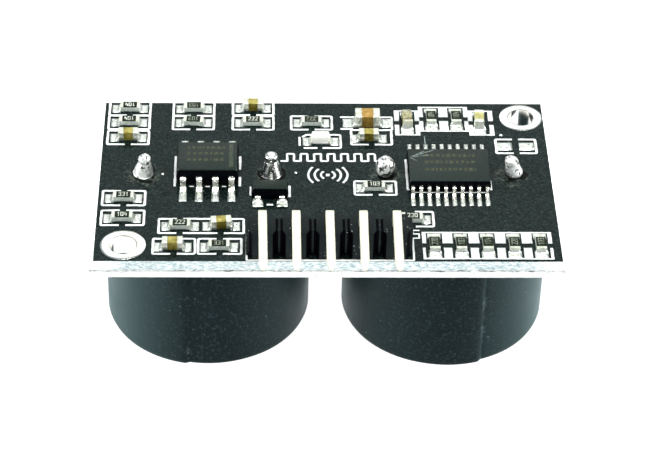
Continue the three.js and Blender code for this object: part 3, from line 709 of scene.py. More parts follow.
def plated_holes():
    """Tinned rings on both faces, joined by a plated bore."""
    sketch = Sketch()
    bore = HOLE_RADIUS - 0.05
    bottom = -BOARD_THICKNESS
    section = [
        (bore, 0.03),
        (bore + 0.08, 0.06),
        (HOLE_RADIUS + 0.3, 0.075),
        (LAND_RADIUS - 0.12, 0.06),
        (LAND_RADIUS, 0.015),
        (LAND_RADIUS, -0.02),
        (HOLE_RADIUS + 0.02, -0.02),
        (HOLE_RADIUS + 0.02, bottom + 0.02),
        (LAND_RADIUS - 0.2, bottom + 0.02),
        (LAND_RADIUS - 0.2, bottom - 0.015),
        (HOLE_RADIUS + 0.2, bottom - 0.05),
        (bore, bottom - 0.03),
    ]
    for i, (x, y) in enumerate(HOLES):
        sketch.place(x, y)
        sketch.tube_ring(section, 72, wobble=0.004, seed=i * 5.0)
    piece("plated_holes", sketch, [PLATING])


# ---- Chips and their footprints ----

random.seed(7)


def resistors(*numbers):
    return {f"resistor_r{i}" for i in numbers}


FLAT = 0
STANDING = 90
# How far some chips are turned, in degrees.
CHIP_TURNS = {"resistor_r4": -4, "capacitor_c5": 3, "capacitor_c6": -3, "capacitor_c7": 5}
ODD_CAPACITORS = {
    "capacitor_c1": {"sides": WARM_SHADED_SIDE},
    "capacitor_c8": {"sides": WARM_SHADED_SIDE},
    "capacitor_c5": {"top": OLIVE, "end": 0.3, "metal": STAINED_METAL},
    "capacitor_c6": {"top": PALE_OCHRE, "end": 0.36},
}
UPRIGHT_CHIPS = {"capacitor_c5", "capacitor_c6"} | resistors(7, 8, *range(15, 20))

# Value codes, and the resistors that carry each.
CODES = {
    "104": resistors(1, 2, 7, 8, 10, 17),
    "103": resistors(3, 4, 13, 16, 19),
    "222": resistors(5, 6, 11),
    "331": resistors(9, 12),
    "220": resistors(14, 15, 18),
}
UPSIDE_DOWN_CODES = resistors(1, 2, 3, 4, 6)
FAINT_CODES = resistors(3, 4, 6, 7, 8, 12, *range(15, 20))

# Each numeral as lines on a grid one wide and two high.
NUMERALS = {
    "0": [[(0, 0), (1, 0), (1, 2), (0, 2), (0, 0)]],
    "1": [[(0.2, 1.6), (0.6, 2), (0.6, 0)]],
    "2": [[(0, 2), (1, 2), (1, 1.1), (0, 0), (1, 0)]],
    "3": [[(0, 2), (1, 2), (1, 0), (0, 0)], [(0.3, 1), (1, 1)]],
    "4": [[(0.2, 2), (0, 0.8), (1, 0.8)], [(0.8, 1.4), (0.8, 0)]],
    "5": [[(1, 2), (0, 2), (0, 1.1), (1, 1.1), (1, 0), (0, 0)]],
}


def numerals(sketch, text, height, stroke, z0, z1, material=0, wide=0.5):
    """Writes numerals, centred on the sketch's place. wide is a numeral's width as a share of its height."""
    unit = height / 2
    width = height * wide
    pitch = width + stroke * 1.8
    left = -(len(text) - 1) * pitch / 2 - width / 2
    for i, numeral in enumerate(text):
        start = left + i * pitch
        lines = [[(start + x * width, y * unit - unit) for x, y in line] for line in NUMERALS[numeral]]
        sketch.strokes(lines, stroke, z0, z1, material)


def resistor(name, x, y, turn):
    """A ceramic chip with a dark overcoat and its value code, and thin metal round its ends."""
    sketch = Sketch()
    sketch.place(x, y, 0, turn)
    half, wide, tall = 0.79, 0.39, 0.45
    sketch.box((-half, -wide, 0.02), (half, wide, tall - 0.03), 0, 0.015, 1)
    coat = 0.56
    sketch.box((-coat, -wide + 0.005, tall - 0.06), (coat, wide - 0.005, tall + 0.005), 1, 0.022, 2)
    # The metal over the top, down the end and under the chip.
    sketch.ends(coat - 0.03, 0.805, wide + 0.005, tall - 0.04, tall - 0.012, 3, 0.01, 1)
    sketch.ends(0.775, 0.81, wide + 0.005, 0.0, tall - 0.015, 3, 0.012, 1)
    sketch.ends(0.5, 0.8, wide + 0.004, 0.0, 0.03, 3)
    code = next(code for code, names in CODES.items() if name in names)
    sketch.place(x, y, 0, turn + (180 if name in UPSIDE_DOWN_CODES else 0))
    numerals(sketch, code, 0.43, 0.06, tall, tall + 0.012, 2, 0.40)
    ink = FAINT_CODE if name in FAINT_CODES else CODE
    piece(f"{name}_chip", sketch, [ALUMINA, OVERCOAT, ink, END_METAL], [name], 35)


def capacitor(
    name, x, y, turn, body=(1.6, 0.8, 0.8), end=0.45, top=OCHRE, sides=OCHRE_SHADED_SIDE, metal=END_METAL
):
    """A block of fired ceramic, its sides painted darker as shade, with metal over both ends."""
    sketch = Sketch()
    sketch.place(x, y, 0, turn)
    length, width, height = body
    half_length, half_width = length / 2 - 0.04, width / 2 - 0.02
    crown = height - 0.1
    sketch.box((-half_length, -half_width, crown), (half_length, half_width, height - 0.02), 0, 0.05)
    # The lower box, which makes the sides, takes the painted shade.
    sketch.box((-half_length, -half_width, 0.02), (half_length, half_width, crown + 0.04), 2, 0.02)
    sketch.ends(length / 2 - end, length / 2, width / 2, 0, height, 1, 0.07, 3)
    piece(f"{name}_chip", sketch, [top, metal, sides], [name], 50)


def fillet_height(top, seed, flat=0.05, hug=0.1, run=0.42, dents=0.02, narrow=0.7):
    """Solder that climbs a chip's end at u = 0, and lies thin and dented from u = run to u = 1.

    flat is its height there, hug is where it starts to fall, and narrow is how much its sides drop.
    """

    def height(u, v):
        edge = min(v, 1 - v, 1 - u)
        round_off = min(1.0, max(edge, 0.0) / 0.1) ** 0.5
        climb = 1.0 if u < hug else max(0.0, 1 - (u - hug) / (run - hug)) ** 2.2
        across = 1 - narrow * abs(2 * v - 1) ** 3
        lump = noise.noise(Vector((u * 2.2 + seed, v * 2.2, seed * 0.7)))
        dent = noise.noise(Vector((u * 6 + seed, v * 4, seed)))
        return ((top - flat) * climb * across + flat * (1.0 + 0.6 * lump) + dents * dent) * round_off + 0.004

    return height


def solder_ends(sketch, x, y, turn, top, span=2.92, gap=1.5, width=1.04):
    """The two pads of a chip, each with its fillet. They reach from gap / 2 to span / 2 off its middle."""
    for side in (0, 180):
        sketch.place(x, y, 0, turn + side)
        rise = top * random.uniform(0.62, 0.95)
        height = fillet_height(rise, random.uniform(0, 50))
        sketch.patch((gap / 2, -width / 2), (span / 2, width / 2), height, cells=(12, 9))


def chips():
    """Every chip, with the solder at its ends."""
    solder = Sketch()
    names = [f"resistor_r{i}" for i in range(1, 20)] + [f"capacitor_c{i}" for i in range(1, 9)]
    for name in names:
        centre = node_centre(name)
        turn = (STANDING if name in UPRIGHT_CHIPS else FLAT) + CHIP_TURNS.get(name, 0)
        pad_turn = STANDING if name in UPRIGHT_CHIPS else FLAT
        if name == "capacitor_c3":
            capacitor(name, centre.x, centre.y, turn, (2.0, 1.25, 1.1), 0.56, ORANGE, ORANGE_SHADED_SIDE)
            solder_ends(solder, centre.x, centre.y, pad_turn, 0.8, 4.0, 1.7, 1.15)
            continue
        if name.startswith("resistor"):
            resistor(name, centre.x, centre.y, turn)
            solder_ends(solder, centre.x, centre.y, pad_turn, 0.4)
        else:
            capacitor(name, centre.x, centre.y, turn, **ODD_CAPACITORS.get(name, {}))
            solder_ends(solder, centre.x, centre.y, pad_turn, 0.55)
    lamp = node_centre("led_d1")
    solder_ends(solder, lamp.x, lamp.y, FLAT, 0.3, 2.9)
    # Two pads with no chip on them.
    for x0, x1 in ((13.89, 15.1), (15.66, 16.92)):
        solder.place((x0 + x1) / 2, 4.35)
        half = (x1 - x0) / 2
        height = fillet_height(0.09, x0, 0.07, 0.0)
        solder.patch((-half, -0.5), (half, 0.5), height, cells=(12, 9))
    piece("chip_solder", solder, [SOLDER])


def lamp():
    """A white chip diode: a case with metal ends and a bevelled lens."""
    sketch = Sketch()
    centre = node_centre("led_d1")
    sketch.place(centre.x, centre.y)
    sketch.box((-0.78, -0.38, 0.02), (0.78, 0.38, 0.27), 0, 0.02, 1)
    sketch.ends(0.6, 0.8, 0.4, 0, 0.3, 1, 0.03)
    lens = [(-0.72, -0.39), (0.72, -0.39), (0.72, 0.39), (-0.72, 0.39)]
    levels = ((0.25, 1.0, 1.0), (0.5, 1.0, 1.0), (0.71, 0.94, 0.97), (0.77, 0.86, 0.86))
    sketch.loft([[(x * along, y * across, z) for x, y in lens] for z, along, across in levels], 2)
    piece("led_d1_chip", sketch, [LED_CASE, END_METAL, LED_LENS], ["led_d1"], 50)


# ---- Moulded packages ----

# The places of a package's materials in its list. FLANKS holds the sides' painted shade.
CROWN, LEADS, MARKS, FLANKS, PRINT = range(5)


def octagon(w, d, cut):
    """A rectangle of half sizes w and d, with cut corners."""
    points = [(-w + cut, -d), (w - cut, -d), (w, -d + cut), (w, d - cut)]
    return points + [(-x, -y) for x, y in points]


def gull_lead(sketch, width, thickness, tip, root, exit_height, foot):
    """A lead in the sketch's own frame: out of the body at y = -root, down, and along the board to -tip."""
    slope = math.radians(80)
    upper, lower = thickness * 1.1, thickness * 1.5
    fit = min(1.0, 0.9 * (exit_height - thickness / 2) / (upper + lower))
    upper, lower = upper * fit, lower * fit
    lower_bend = arc(tip - foot, thickness / 2 + lower, lower, -90 - math.degrees(slope), -90)
    ankle, ankle_height = lower_bend[0]
    drop = exit_height - upper + upper * math.cos(slope) - ankle_height
    shoulder = ankle - drop / math.tan(slope) - upper * math.sin(slope)
    upper_bend = arc(shoulder, exit_height - upper, upper, 90, 90 - math.degrees(slope))
    path = [Vector((root - 0.3, exit_height))]
    path += [Vector(p) for p in upper_bend + lower_bend + [(tip, thickness / 2)]]
    half = width / 2
    rings = []
    for before, here, after in zip(path[:1] + path, path, path[1:] + path[-1:]):
        along = (after - before).normalized()
        lift = Vector((-along.y, along.x)) * thickness / 2
        top, under = here + lift, here - lift
        corners = ((-half, top), (half, top), (half, under), (-half, under))
        rings.append([(x, -p.x, p.y) for x, p in corners])
    sketch.loft(rings, LEADS)


def moulded_body(sketch, width, depth, height, standoff):
    """A body with sloped sides painted dark as shade, softened edges and a speckled top."""
    draft = 0.09 * height
    levels = ((0, 1.0), (0.04, 0.85), (0.47, 0.06), (0.53, 0.06), (0.95, 0.85), (0.985, 1.05), (1.0, 1.5))
    rings = []
    for share, inset in levels:
        outline = octagon(width / 2 - draft * inset, depth / 2 - draft * inset, 0.06)
        rings.append([(x, y, standoff + height * share) for x, y in outline])
    # The sides take the near-black painted shade.
    sketch.loft(rings[:-2], FLANKS)
    sketch.loft(rings[-3:], CROWN)


def package(
    node, body, standoff, exit_height, tip, lead, pads, climb, columns,
    print_rows=(), marks=(), mark=MARK, back=0.0, epoxy=EPOXY,
):
    """A moulded package with gull-wing leads.

    body is its width, depth and height, and standoff the space below it. lead is a lead's width, thickness
    and length on the board. It leaves the body at exit_height, and ends a distance tip off the middle. pads
    is a pad's width and its two ends, and climb is how high solder goes. columns are where the front and the
    rear leads stand.
    """
    centre = node_centre(node)
    middle = Matrix.Translation((centre.x, centre.y + back, 0))
    width, depth, height = body
    lead_width, thickness, foot = lead
    pad_width, inner, outer = pads
    sketch = Sketch()
    sketch.matrix = middle
    moulded_body(sketch, width, depth, height, standoff)
    solder = Sketch()
    # Turned half round, the rear leads are drawn as the front ones are. Their solder is higher and longer.
    for turn, heap, longer, xs in ((0, 0.05, 0.0, columns[0]), (180, 0.12, 0.08, columns[1])):
        row = middle @ Matrix.Rotation(math.radians(turn), 4, "Z")
        for x in xs:
            sketch.matrix = row @ Matrix.Translation((-x if turn else x, 0, 0))
            gull_lead(sketch, lead_width, thickness, tip, depth / 2, exit_height, foot)
            solder.matrix = sketch.matrix @ Matrix.Rotation(math.radians(-90), 4, "Z")
            height_at = fillet_height(climb, random.uniform(0, 50), heap, 0.3, 0.75, 0.035, 0.95)
            solder.patch((inner, -pad_width / 2), (outer + longer, pad_width / 2), height_at, (12, 7))
    sketch.matrix = middle
    top = standoff + height
    for x0, x1, y, thick in print_rows:
        sketch.ribbon([(x0, y), (x1, y)], thick, top, top + 0.006, PRINT, 0.05)
    for start, end, thick in marks:
        sketch.ribbon([start, end], thick, top, top + 0.007, MARKS, 0.02)
    materials = [epoxy, LEAD, mark, EPOXY_SHADED_SIDE, FAINT_MARK]
    piece(f"{node}_package", sketch, materials, [node], 35)
    piece(f"{node}_solder", solder, [SOLDER])


def evenly(count, pitch):
    """Places a pitch apart, centred on 0."""
    return [(i - (count - 1) / 2) * pitch for i in range(count)]


def block_print(rows, left, right, thick, seed):
    """Rows of short blocks, which stand for unreadable print."""
    marks = random.Random(seed)
    bars = []
    for y in rows:
        x = left
        while x < right:
            length = marks.uniform(0.16, 0.34)
            bars.append((x, min(x + length, right), y, thick))
            x += length + marks.uniform(0.12, 0.2)
    return bars


def packages():
    """The amplifier with a bar at its right end, the scratched controller and the transistor."""
    package(
        "amplifier_ic",
        body=(4.9, 3.8, 1.4),
        standoff=0.15,
        exit_height=0.85,
        tip=2.93,
        lead=(0.44, 0.2, 0.42),
        pads=(0.6, 2.35, 3.87),
        climb=0.15,
        columns=(evenly(4, 1.27), evenly(4, 1.27)),
        print_rows=block_print((1.05, 0.3, -0.5), -1.6, 1.35, 0.3, 3),
        marks=[((1.86, 1.5), (1.86, -1.45), 0.34)],
        back=0.06,
    )
    scratches = [
        ((-3.05, 0.98), (-1.1, 1.9), 0.07),
        ((-3.05, 0.98), (-1.9, 1.72), 0.06),
        ((-3.05, 0.95), (-1.5, 1.25), 0.05),
        ((-3.0, 0.9), (-2.5, 0.5), 0.05),
    ]
    package(
        "controller_ic",
        body=(6.5, 4.3, 0.95),
        standoff=0.1,
        exit_height=0.575,
        tip=3.2,
        lead=(0.25, 0.13, 0.5),
        pads=(0.36, 2.75, 3.9),
        climb=0.1,
        columns=(evenly(10, 0.65), evenly(10, 0.65)),
        print_rows=block_print((1.2, 0.35, -0.6), -1.9, 2.1, 0.36, 5),
        marks=scratches,
        mark=SCRATCH,
    )
    package(
        "transistor_q1",
        body=(2.9, 1.3, 1.0),
        standoff=0.06,
        exit_height=0.38,
        tip=1.2,
        lead=(0.40, 0.13, 0.22),
        pads=(0.86, 0.8, 1.5),
        climb=0.28,
        columns=((-0.95, 0.95), (0.0,)),
        epoxy=DULL_EPOXY,
    )


# ---- The pin header ----

PINS = 5
# The notches between the ways: how deep they are, and half their width at the outside and at the bottom.
NOTCH_DEPTH = 0.47
NOTCH_MOUTH = 0.5
NOTCH_FLOOR = 0.26
# The width of the ribs in the notches, and the outer radius of a pin's bend.
RIB = 0.22
PIN_BEND = 0.7


def header():
    """The break-away moulding: five ways, notched between them and joined there by thin ribs."""
    low, high = node_box("header_moulding")
    centre = node_centre("header_moulding")
    pitch = (high.x - low.x) / PINS
    half_depth = (high.y - low.y) / 2
    inner = half_depth - NOTCH_DEPTH
    floor = NOTCH_FLOOR
    outline = []
    for sx, sy in ((1, -1), (1, 1), (-1, 1), (-1, -1)):
        corner = [(pitch / 2 - NOTCH_MOUTH, half_depth), (pitch / 2 - floor, inner)]
        outline += [(sx * x, sy * y) for x, y in (corner if sx * sy < 0 else corner[::-1])]
    sketch = Sketch()
    for i in range(PINS):
        sketch.place(low.x + pitch * (i + 0.5), centre.y)
        sketch.prism(outline, 0.0, high.z, 0, 0.05, 2)
    for i in range(1, PINS):
        sketch.place(low.x + pitch * i, centre.y)
        # The core under each rib is all dark plastic: painted shade deep in the notch.
        sketch.box((-floor - 0.06, -inner + 0.16, 0), (floor + 0.06, inner + 0.03, high.z - 0.14), 1, 0.03, 1)
        sketch.box((-RIB / 2, -inner + 0.02, 0), (RIB / 2, inner - 0.02, high.z - 0.05), 0, 0.03, 1)
    for side in (-1, 1):
        sketch.place(centre.x + side * (pitch * PINS / 2 - floor / 2 - 0.02), centre.y)
        sketch.box((-floor / 2, -inner + 0.01, 0), (floor / 2, inner - 0.01, high.z - 0.02), 0, 0.03, 1)
    # Walls that face along the row are dark, because little light reaches the notches.
    sketch.bm.normal_update()
    for face in sketch.bm.faces:
        if abs(face.normal.x) > 0.6 and abs(face.normal.z) < 0.3:
            face.material_index = 1
    piece("header_moulding_detail", sketch, [HEADER, HEADER_SHADE], ["header_moulding"], 35)


def header_pins():
    """Square pins, bent forward above the moulding, with both ends pointed."""
    for i in range(1, PINS + 1):
        node = f"header_pin_{i}"
        low, high = node_box(node)
        x = (low.x + high.x) / 2
        half = (high.x - low.x) / 2
        y = high.y - half
        radius = PIN_BEND - half
        run_z = high.z - half
        skew = random.uniform(-0.01, 0.01)
        # The pin's middle line from tail to tip, as (y, z, size of its section).
        path = [(y, low.z, 0.45), (y, low.z + 0.7, 1.0), (y, run_z - radius - 0.4, 1.0)]
        path += [(py, pz, 1.0) for py, pz in arc(y - radius, run_z - radius, radius, 0, 90, 10)]
        taper = ((0.9, 1.0), (0.4, 0.78), (0.06, 0.5), (0.0, 0.36))
        path += [(low.y + back, run_z, size) for back, size in taper]
        rings = []
        for before, (py, pz, size), after in zip(path[:1] + path, path, path[1:] + path[-1:]):
            along = Vector((after[0] - before[0], after[1] - before[1])).normalized()
            across = Vector((-along.y, along.x))
            half_size = half * size
            drift = skew * (y - py)
            section = octagon(half_size, half_size, half_size * 0.16)
            rings.append([(x + drift + a, py + across.x * b, pz + across.y * b) for a, b in section])
        sketch = Sketch()
        sketch.loft(rings)
        piece(f"{node}_plated", sketch, [PIN], [node], 30)


def header_solder():
    """Five small cones under the board, round the pins' tails."""
    sketch = Sketch()
    profile = [(0.85, 0.01), (0.84, -0.04), (0.66, -0.16), (0.50, -0.42), (0.42, -0.72), (0.36, -0.9)]
    for i in range(1, PINS + 1):
        low, high = node_box(f"header_pin_{i}")
        sketch.place((low.x + high.x) / 2, high.y - (high.x - low.x) / 2, -BOARD_THICKNESS)
        sketch.turned(profile + [(0, -0.95)], 32, wobble=0.1, seed=i * 3.1)
    piece("header_solder", sketch, [HAND_SOLDER])


# ---- The transducers ----

SLEEVE_SEAMS = {"left": -100, "right": -70}
SLEEVE_INNER = 7.93
SLEEVE_THIN = 0.17
SLEEVE_THICK = 0.37
# The share of a turn where the lapped end ramps down, and the one where it is creased at its foot.
SEAM_RAMP = 2.6 / 360
SEAM_CREASE = 1.2 / 360
# The can's open front, inside the lip that is turned in round it.
LIP_RADIUS = 6.5


def sleeve(side):
    """Rubber wrapped once round the can. It thickens as it goes round, and ramps down at the seam."""
    node = f"{side}_sleeve"
    low, high = node_box(node)
    can = node_centre(f"{side}_can")
    seam = math.radians(SLEEVE_SEAMS[side])
    crest = 1 - SEAM_RAMP
    turns = [crest * i / 210 for i in range(211)] + [1 - SEAM_RAMP * f for f in (0.66, 0.33, 0.06)]
    # How far up the rings of points lie, as shares of the height: they are closest at the rounded lower edge.
    edge = 0.012
    shares = (0.0, 0.004, edge, 0.03, 0.08, 0.16, 0.28, 0.4, 0.52, 0.64, 0.76, 0.88, 1.0)
    sketch = Sketch()
    sketch.place(can.x, can.y)
    sections = []
    for turn in turns:
        angle = seam + turn * 2 * math.pi
        x, y = math.cos(angle), math.sin(angle)
        climb = turn / crest if turn <= crest else (1 - turn) / SEAM_RAMP
        wall = SLEEVE_THIN + (SLEEVE_THICK - SLEEVE_THIN) * climb
        wall -= 0.01 * max(0.0, 1 - turn / SEAM_CREASE)
        section = []
        for share in shares:
            z = low.z + (high.z - low.z) * share
            swell = 0.035 * noise.noise(Vector((x * 2.2, y * 2.2, z * 0.22)))
            swell -= 0.05 * max(0.0, 1 - share / edge)
            section.append((SLEEVE_INNER + min(wall + swell, SLEEVE_THICK), z))
        section += [(SLEEVE_INNER, z) for z in (high.z, low.z + 0.03, low.z)]
        sections.append([(r * x, r * y, z) for r, z in section])
    sketch.closed_tube(sections)
    piece(f"{node}_wrap", sketch, [rubber(side)], [node], 35)


def barrel(side):
    """Everything inside one sleeve, from the can to the pins."""
    can_low, can_high = node_box(f"{side}_can")
    x, y = node_centre(f"{side}_can").xy
    radius = (can_high.x - can_low.x) / 2
    bore = radius - 0.45
    front, back = can_low.z, can_high.z
    sketch = Sketch()
    sketch.place(x, y)
    wall = [(bore, back), (radius, back), (radius, front + 0.3), (radius - 0.09, front + 0.08)]
    lip = ((0.1, 0.0), (0.02, 0.06), (0.0, 0.2), (0.02, 0.36), (0.1, 0.4))
    section = wall + [(radius - 0.3, front)]
    section += [(LIP_RADIUS + out, front + up) for out, up in lip]
    sketch.tube_ring(section + [(bore, front + 0.4)], 96)
    piece(f"{side}_can_drawn", sketch, [CAN], [f"{side}_can"], 35)
    screen(side, x, y)
    cone(side, x, y)
    lead_wires(side)
    terminals(side)


def screen(side, x, y):
    """Two crossing layers of fine wire, in a thin rim."""
    low, high = node_box(f"{side}_screen")
    reach = (high.x - low.x) / 2
    wire = 0.07
    pitch = 0.42
    sketch = Sketch()
    sketch.place(x, y)
    sketch.tube_ring([(reach - 0.35, low.z), (reach, low.z), (reach, high.z), (reach - 0.35, high.z)], 72)
    count = int(reach / pitch)
    section = circle(0, 0, wire, 6)
    for turn, z in ((0, low.z + 0.1), (90, low.z + 0.2)):
        sketch.place(x, y, z, turn)
        for i in range(-count, count + 1):
            offset = i * pitch
            half = math.sqrt(max(0.0, (reach - 0.2) ** 2 - offset**2))
            sketch.loft([[(end, offset + a, b) for a, b in section] for end in (-half, half)])
    piece(f"{side}_screen_mesh", sketch, [WIRE], [f"{side}_screen"], 60)


def cone(side, x, y):
    """A spun cone that opens towards the screen."""
    low, high = node_box(f"{side}_resonator_cone")
    mouth = (high.x - low.x) / 2
    sketch = Sketch()
    sketch.place(x, y)
    top, bottom = high.z, low.z
    outside = [(0, top), (1.1, top), (1.3, top - 0.12), (mouth - 0.1, bottom + 0.1), (mouth, bottom)]
    inside = [(mouth - 0.12, bottom), (mouth - 0.35, bottom + 0.22), (1.15, top - 0.36), (0.95, top - 0.26)]
    sketch.turned(outside + inside + [(0, top - 0.25)], 72)
    piece(f"{side}_resonator_cone_spun", sketch, [CONE], [f"{side}_resonator_cone"], 30)


def lead_wires(side):
    """Two fine wires from the foot of each pin to the rim of the vibrating disc."""
    disc_low, disc_high = node_box(f"{side}_piezo_disc")
    x, y = node_centre(f"{side}_piezo_disc").xy
    plate_edge = (disc_high.x - disc_low.x) / 2
    sketch = Sketch()
    sketch.place(x, y)
    for sign, end in ((-1, "a"), (1, "b")):
        pin_low, pin_high = node_box(f"{side}_pin_{end}")
        out = (pin_low.x + pin_high.x) / 2 - x
        landing = sign * plate_edge * 0.82
        top, bottom = pin_low.z + 0.05, disc_high.z + 0.09
        middle = (top + bottom) / 2
        path = [(out, 0, top), (out + sign * 0.25, 0.1, middle + 0.5), (out + sign * 0.2, 0.2, middle - 0.4)]
        path += [((out + landing) / 2, 0.15, bottom + 0.25), (landing, 0, bottom)]
        sketch.wire(path, 0.08)
        sketch.place(x + landing, y, disc_high.z - 0.01)
        sketch.turned([(0.34, 0), (0.30, 0.1), (0.16, 0.2), (0, 0.22)], 20)
        sketch.place(x, y)
    piece(f"{side}_lead_wires", sketch, [PIN])


# Hand-made joints round the pins: how each stands, as (radius, height) corners from the board up, how far it
# is off centre to the right and to the rear, how much it leans to the right for each millimetre up, and how
# lumpy it is.
JOINTS = {
    "left_pin_a": {
        "profile": [(0.86, -0.02), (0.85, 0.02), (0.79, 0.08), (0.75, 0.2), (0.67, 0.5), (0.57, 0.8)]
        + [(0.48, 1.02), (0.46, 1.1), (0.485, 1.22), (0.49, 1.36), (0.45, 1.53), (0.32, 1.67)]
        + [(0.15, 1.74), (0, 1.75)],
        "shift": (-0.06, 0.30),
        "lean": 0.09,
        "wobble": 0.10,
        "solder": FROSTED_SOLDER,
    },
    "left_pin_b": {
        "profile": [(0.90, -0.02), (0.88, 0.02), (0.84, 0.10), (0.75, 0.45), (0.63, 0.8), (0.50, 1.2)]
        + [(0.45, 1.34), (0.48, 1.46), (0.505, 1.6), (0.49, 1.75), (0.39, 1.87), (0.2, 1.93), (0, 1.94)],
        "shift": (0.06, 0.28),
        "lean": 0.0,
        "wobble": 0.04,
        "solder": HAND_SOLDER,
    },
    "right_pin_a": {
        "profile": [(0.46, -0.02), (0.55, 0.08), (0.68, 0.3), (0.75, 0.62), (0.74, 0.92), (0.64, 1.22)]
        + [(0.45, 1.46), (0.24, 1.59), (0, 1.62)],
        "shift": (-0.06, 0.25),
        "lean": 0.0,
        "wobble": 0.10,
        "solder": PITTED_SOLDER,
    },
    "right_pin_b": {
        "profile": [(0.60, -0.02), (0.67, 0.08), (0.68, 0.3), (0.63, 0.6), (0.57, 0.9), (0.53, 1.2)]
        + [(0.49, 1.42), (0.32, 1.56), (0, 1.60)],
        "shift": (0.24, 0.30),
        "lean": -0.22,
        "wobble": 0.10,
        "solder": FROSTED_SOLDER,
    },
}


def catmull_rom(a, b, c, d, t):
    """The curve from b at t = 0 to c at t = 1, where a and d are the values before and after them."""
    square = 2 * a - 5 * b + 4 * c - d
    cube = 3 * b - a - 3 * c + d
    return 0.5 * (2 * b + (c - a) * t + square * t * t + cube * t**3)


def smooth_profile(corners):
    """A finer profile through the corners."""
    points = [corners[0]] + corners + [corners[-1]]
    fine = []
    for four in zip(points, points[1:], points[2:], points[3:]):
        for t in (0, 1 / 3, 2 / 3):
            radius, height = (catmull_rom(*values, t) for values in zip(*four))
            fine.append((max(radius, 0.001), height))
    return fine + [corners[-1]]


def terminals(side):
    """The two pins of a transducer and the solder round each."""
    for k, end in enumerate("ab"):
        node = f"{side}_pin_{end}"
        low, high = node_box(node)
        centre = node_centre(node)
        radius = (high.x - low.x) / 2
        joint = JOINTS[node]
        profile, lean = joint["profile"], joint["lean"]
        x, y = centre.x + joint["shift"][0], centre.y + joint["shift"][1]
        pin = Sketch()
        pin.place(centre.x, centre.y)
        tip = [(0, low.z), (radius * 0.8, low.z), (radius, low.z + 0.12)]
        pin.turned(tip + [(radius, -0.06), (0, -0.05)], 36)
        # Its upper end, hidden in the solder.
        pin.place(x, y)
        core = radius * 0.7
        top = profile[-1][1]
        end_cap = [(core, top - 0.5), (core * 0.6, top - 0.3), (0, top - 0.28)]
        pin.turned([(0, -0.04), (core, -0.03)] + end_cap, 24, lean=lean)
        piece(f"{node}_plated", pin, [PIN], [node], 35)
        solder = Sketch()
        solder.place(x, y)
        solder.turned(smooth_profile(profile), 48, 0, joint["wobble"], lean, seed=k * 7 + len(side))
        # A thin black pool round its foot, set a little to the right and to the front.
        solder.place(x + 0.08, y - 0.12)
        reach = profile[1][0] + 0.2
        pool = [(reach, 0.0), (reach - 0.1, 0.008), (0.3, 0.012), (0, 0.012)]
        solder.turned(pool, 48, 1, 0.5, seed=k * 5 + len(side))
        materials = [joint["solder"], BLACK_POOL]
        piece(f"solder_{side}_{end}_lump", solder, materials, [f"solder_joint_{side}_{end}"], 60)


# ---- Printed legend ----

# The height of the ink's top and the usual width of a line.
INK = 0.022
LINE = 0.19


def rounded(points, radius):
    """The same line with its corners cut to short curves."""
    points = [Vector(p) for p in points]
    path = [points[0]]
    for a, b, c in zip(points, points[1:], points[2:]):
        reach = min(radius, (a - b).length / 2, (c - b).length / 2)
        path += bend(b + (a - b).normalized() * reach, b, b + (c - b).normalized() * reach)
    return path + [points[-1]]


class Legend:
    """White lines printed on the board's top face."""

    def __init__(self):
        self.sketch = Sketch()
        self.count = 0

    def line(self, points, width=LINE, corner=0.13):
        """A line with rounded corners. Each is a hair thicker than the last, so that no two tops coincide."""
        self.count += 1
        lift = 0.00004 * self.count
        self.sketch.place()
        self.sketch.ribbon(rounded(points, corner), width, 0.001, INK + lift, 0, 0.035)

    def across(self, y, x0, x1, width=LINE):
        self.line([(x0, y), (x1, y)], width)

    def upright(self, x, y0, y1, width=LINE):
        self.line([(x, y0), (x, y1)], width)

    def frame(self, x0, y0, x1, y1):
        """The outline of a chip that lies along X, broken in the middle of its long sides."""
        half_gap = 0.25
        middle = (x0 + x1) / 2
        inset = LINE / 2
        low, high = y0 + inset, y1 - inset
        for end, start in ((x0 + inset, middle - half_gap), (x1 - inset, middle + half_gap)):
            self.line([(start, low), (end, low), (end, high), (start, high)])

    def numeral(self, text, x, y, height, stroke):
        self.sketch.place(x, y)
        numerals(self.sketch, text, height, stroke, 0.001, INK)

    def arc(self, x, y, radius, start, end, width):
        """A curved line, in degrees."""
        self.line(arc(x, y, radius, start, end, 8), width, 0.02)


def upright_group(legend, xs, y, half_height, front_half=0.66, rear_half=0.64, edge=0.3):
    """Chips side by side: white fills the space between their pads, and is broken across the middle.

    front_half and rear_half are half the space left for a pad, and edge is how wide the outer white is.
    """
    gap, border = 0.27, 0.13
    for side, half in ((-1, front_half), (1, rear_half)):
        spans = [xs[0] - rear_half - edge] + [x for c in xs for x in (c - half, c + half)]
        spans += [xs[-1] + rear_half + edge]
        low, high = sorted((y + side * gap, y + side * half_height))
        for x0, x1 in zip(spans[::2], spans[1::2]):
            legend.upright((x0 + x1) / 2, low, high, x1 - x0)
        legend.across(y + side * (half_height - border / 2), spans[0], spans[-1], border)


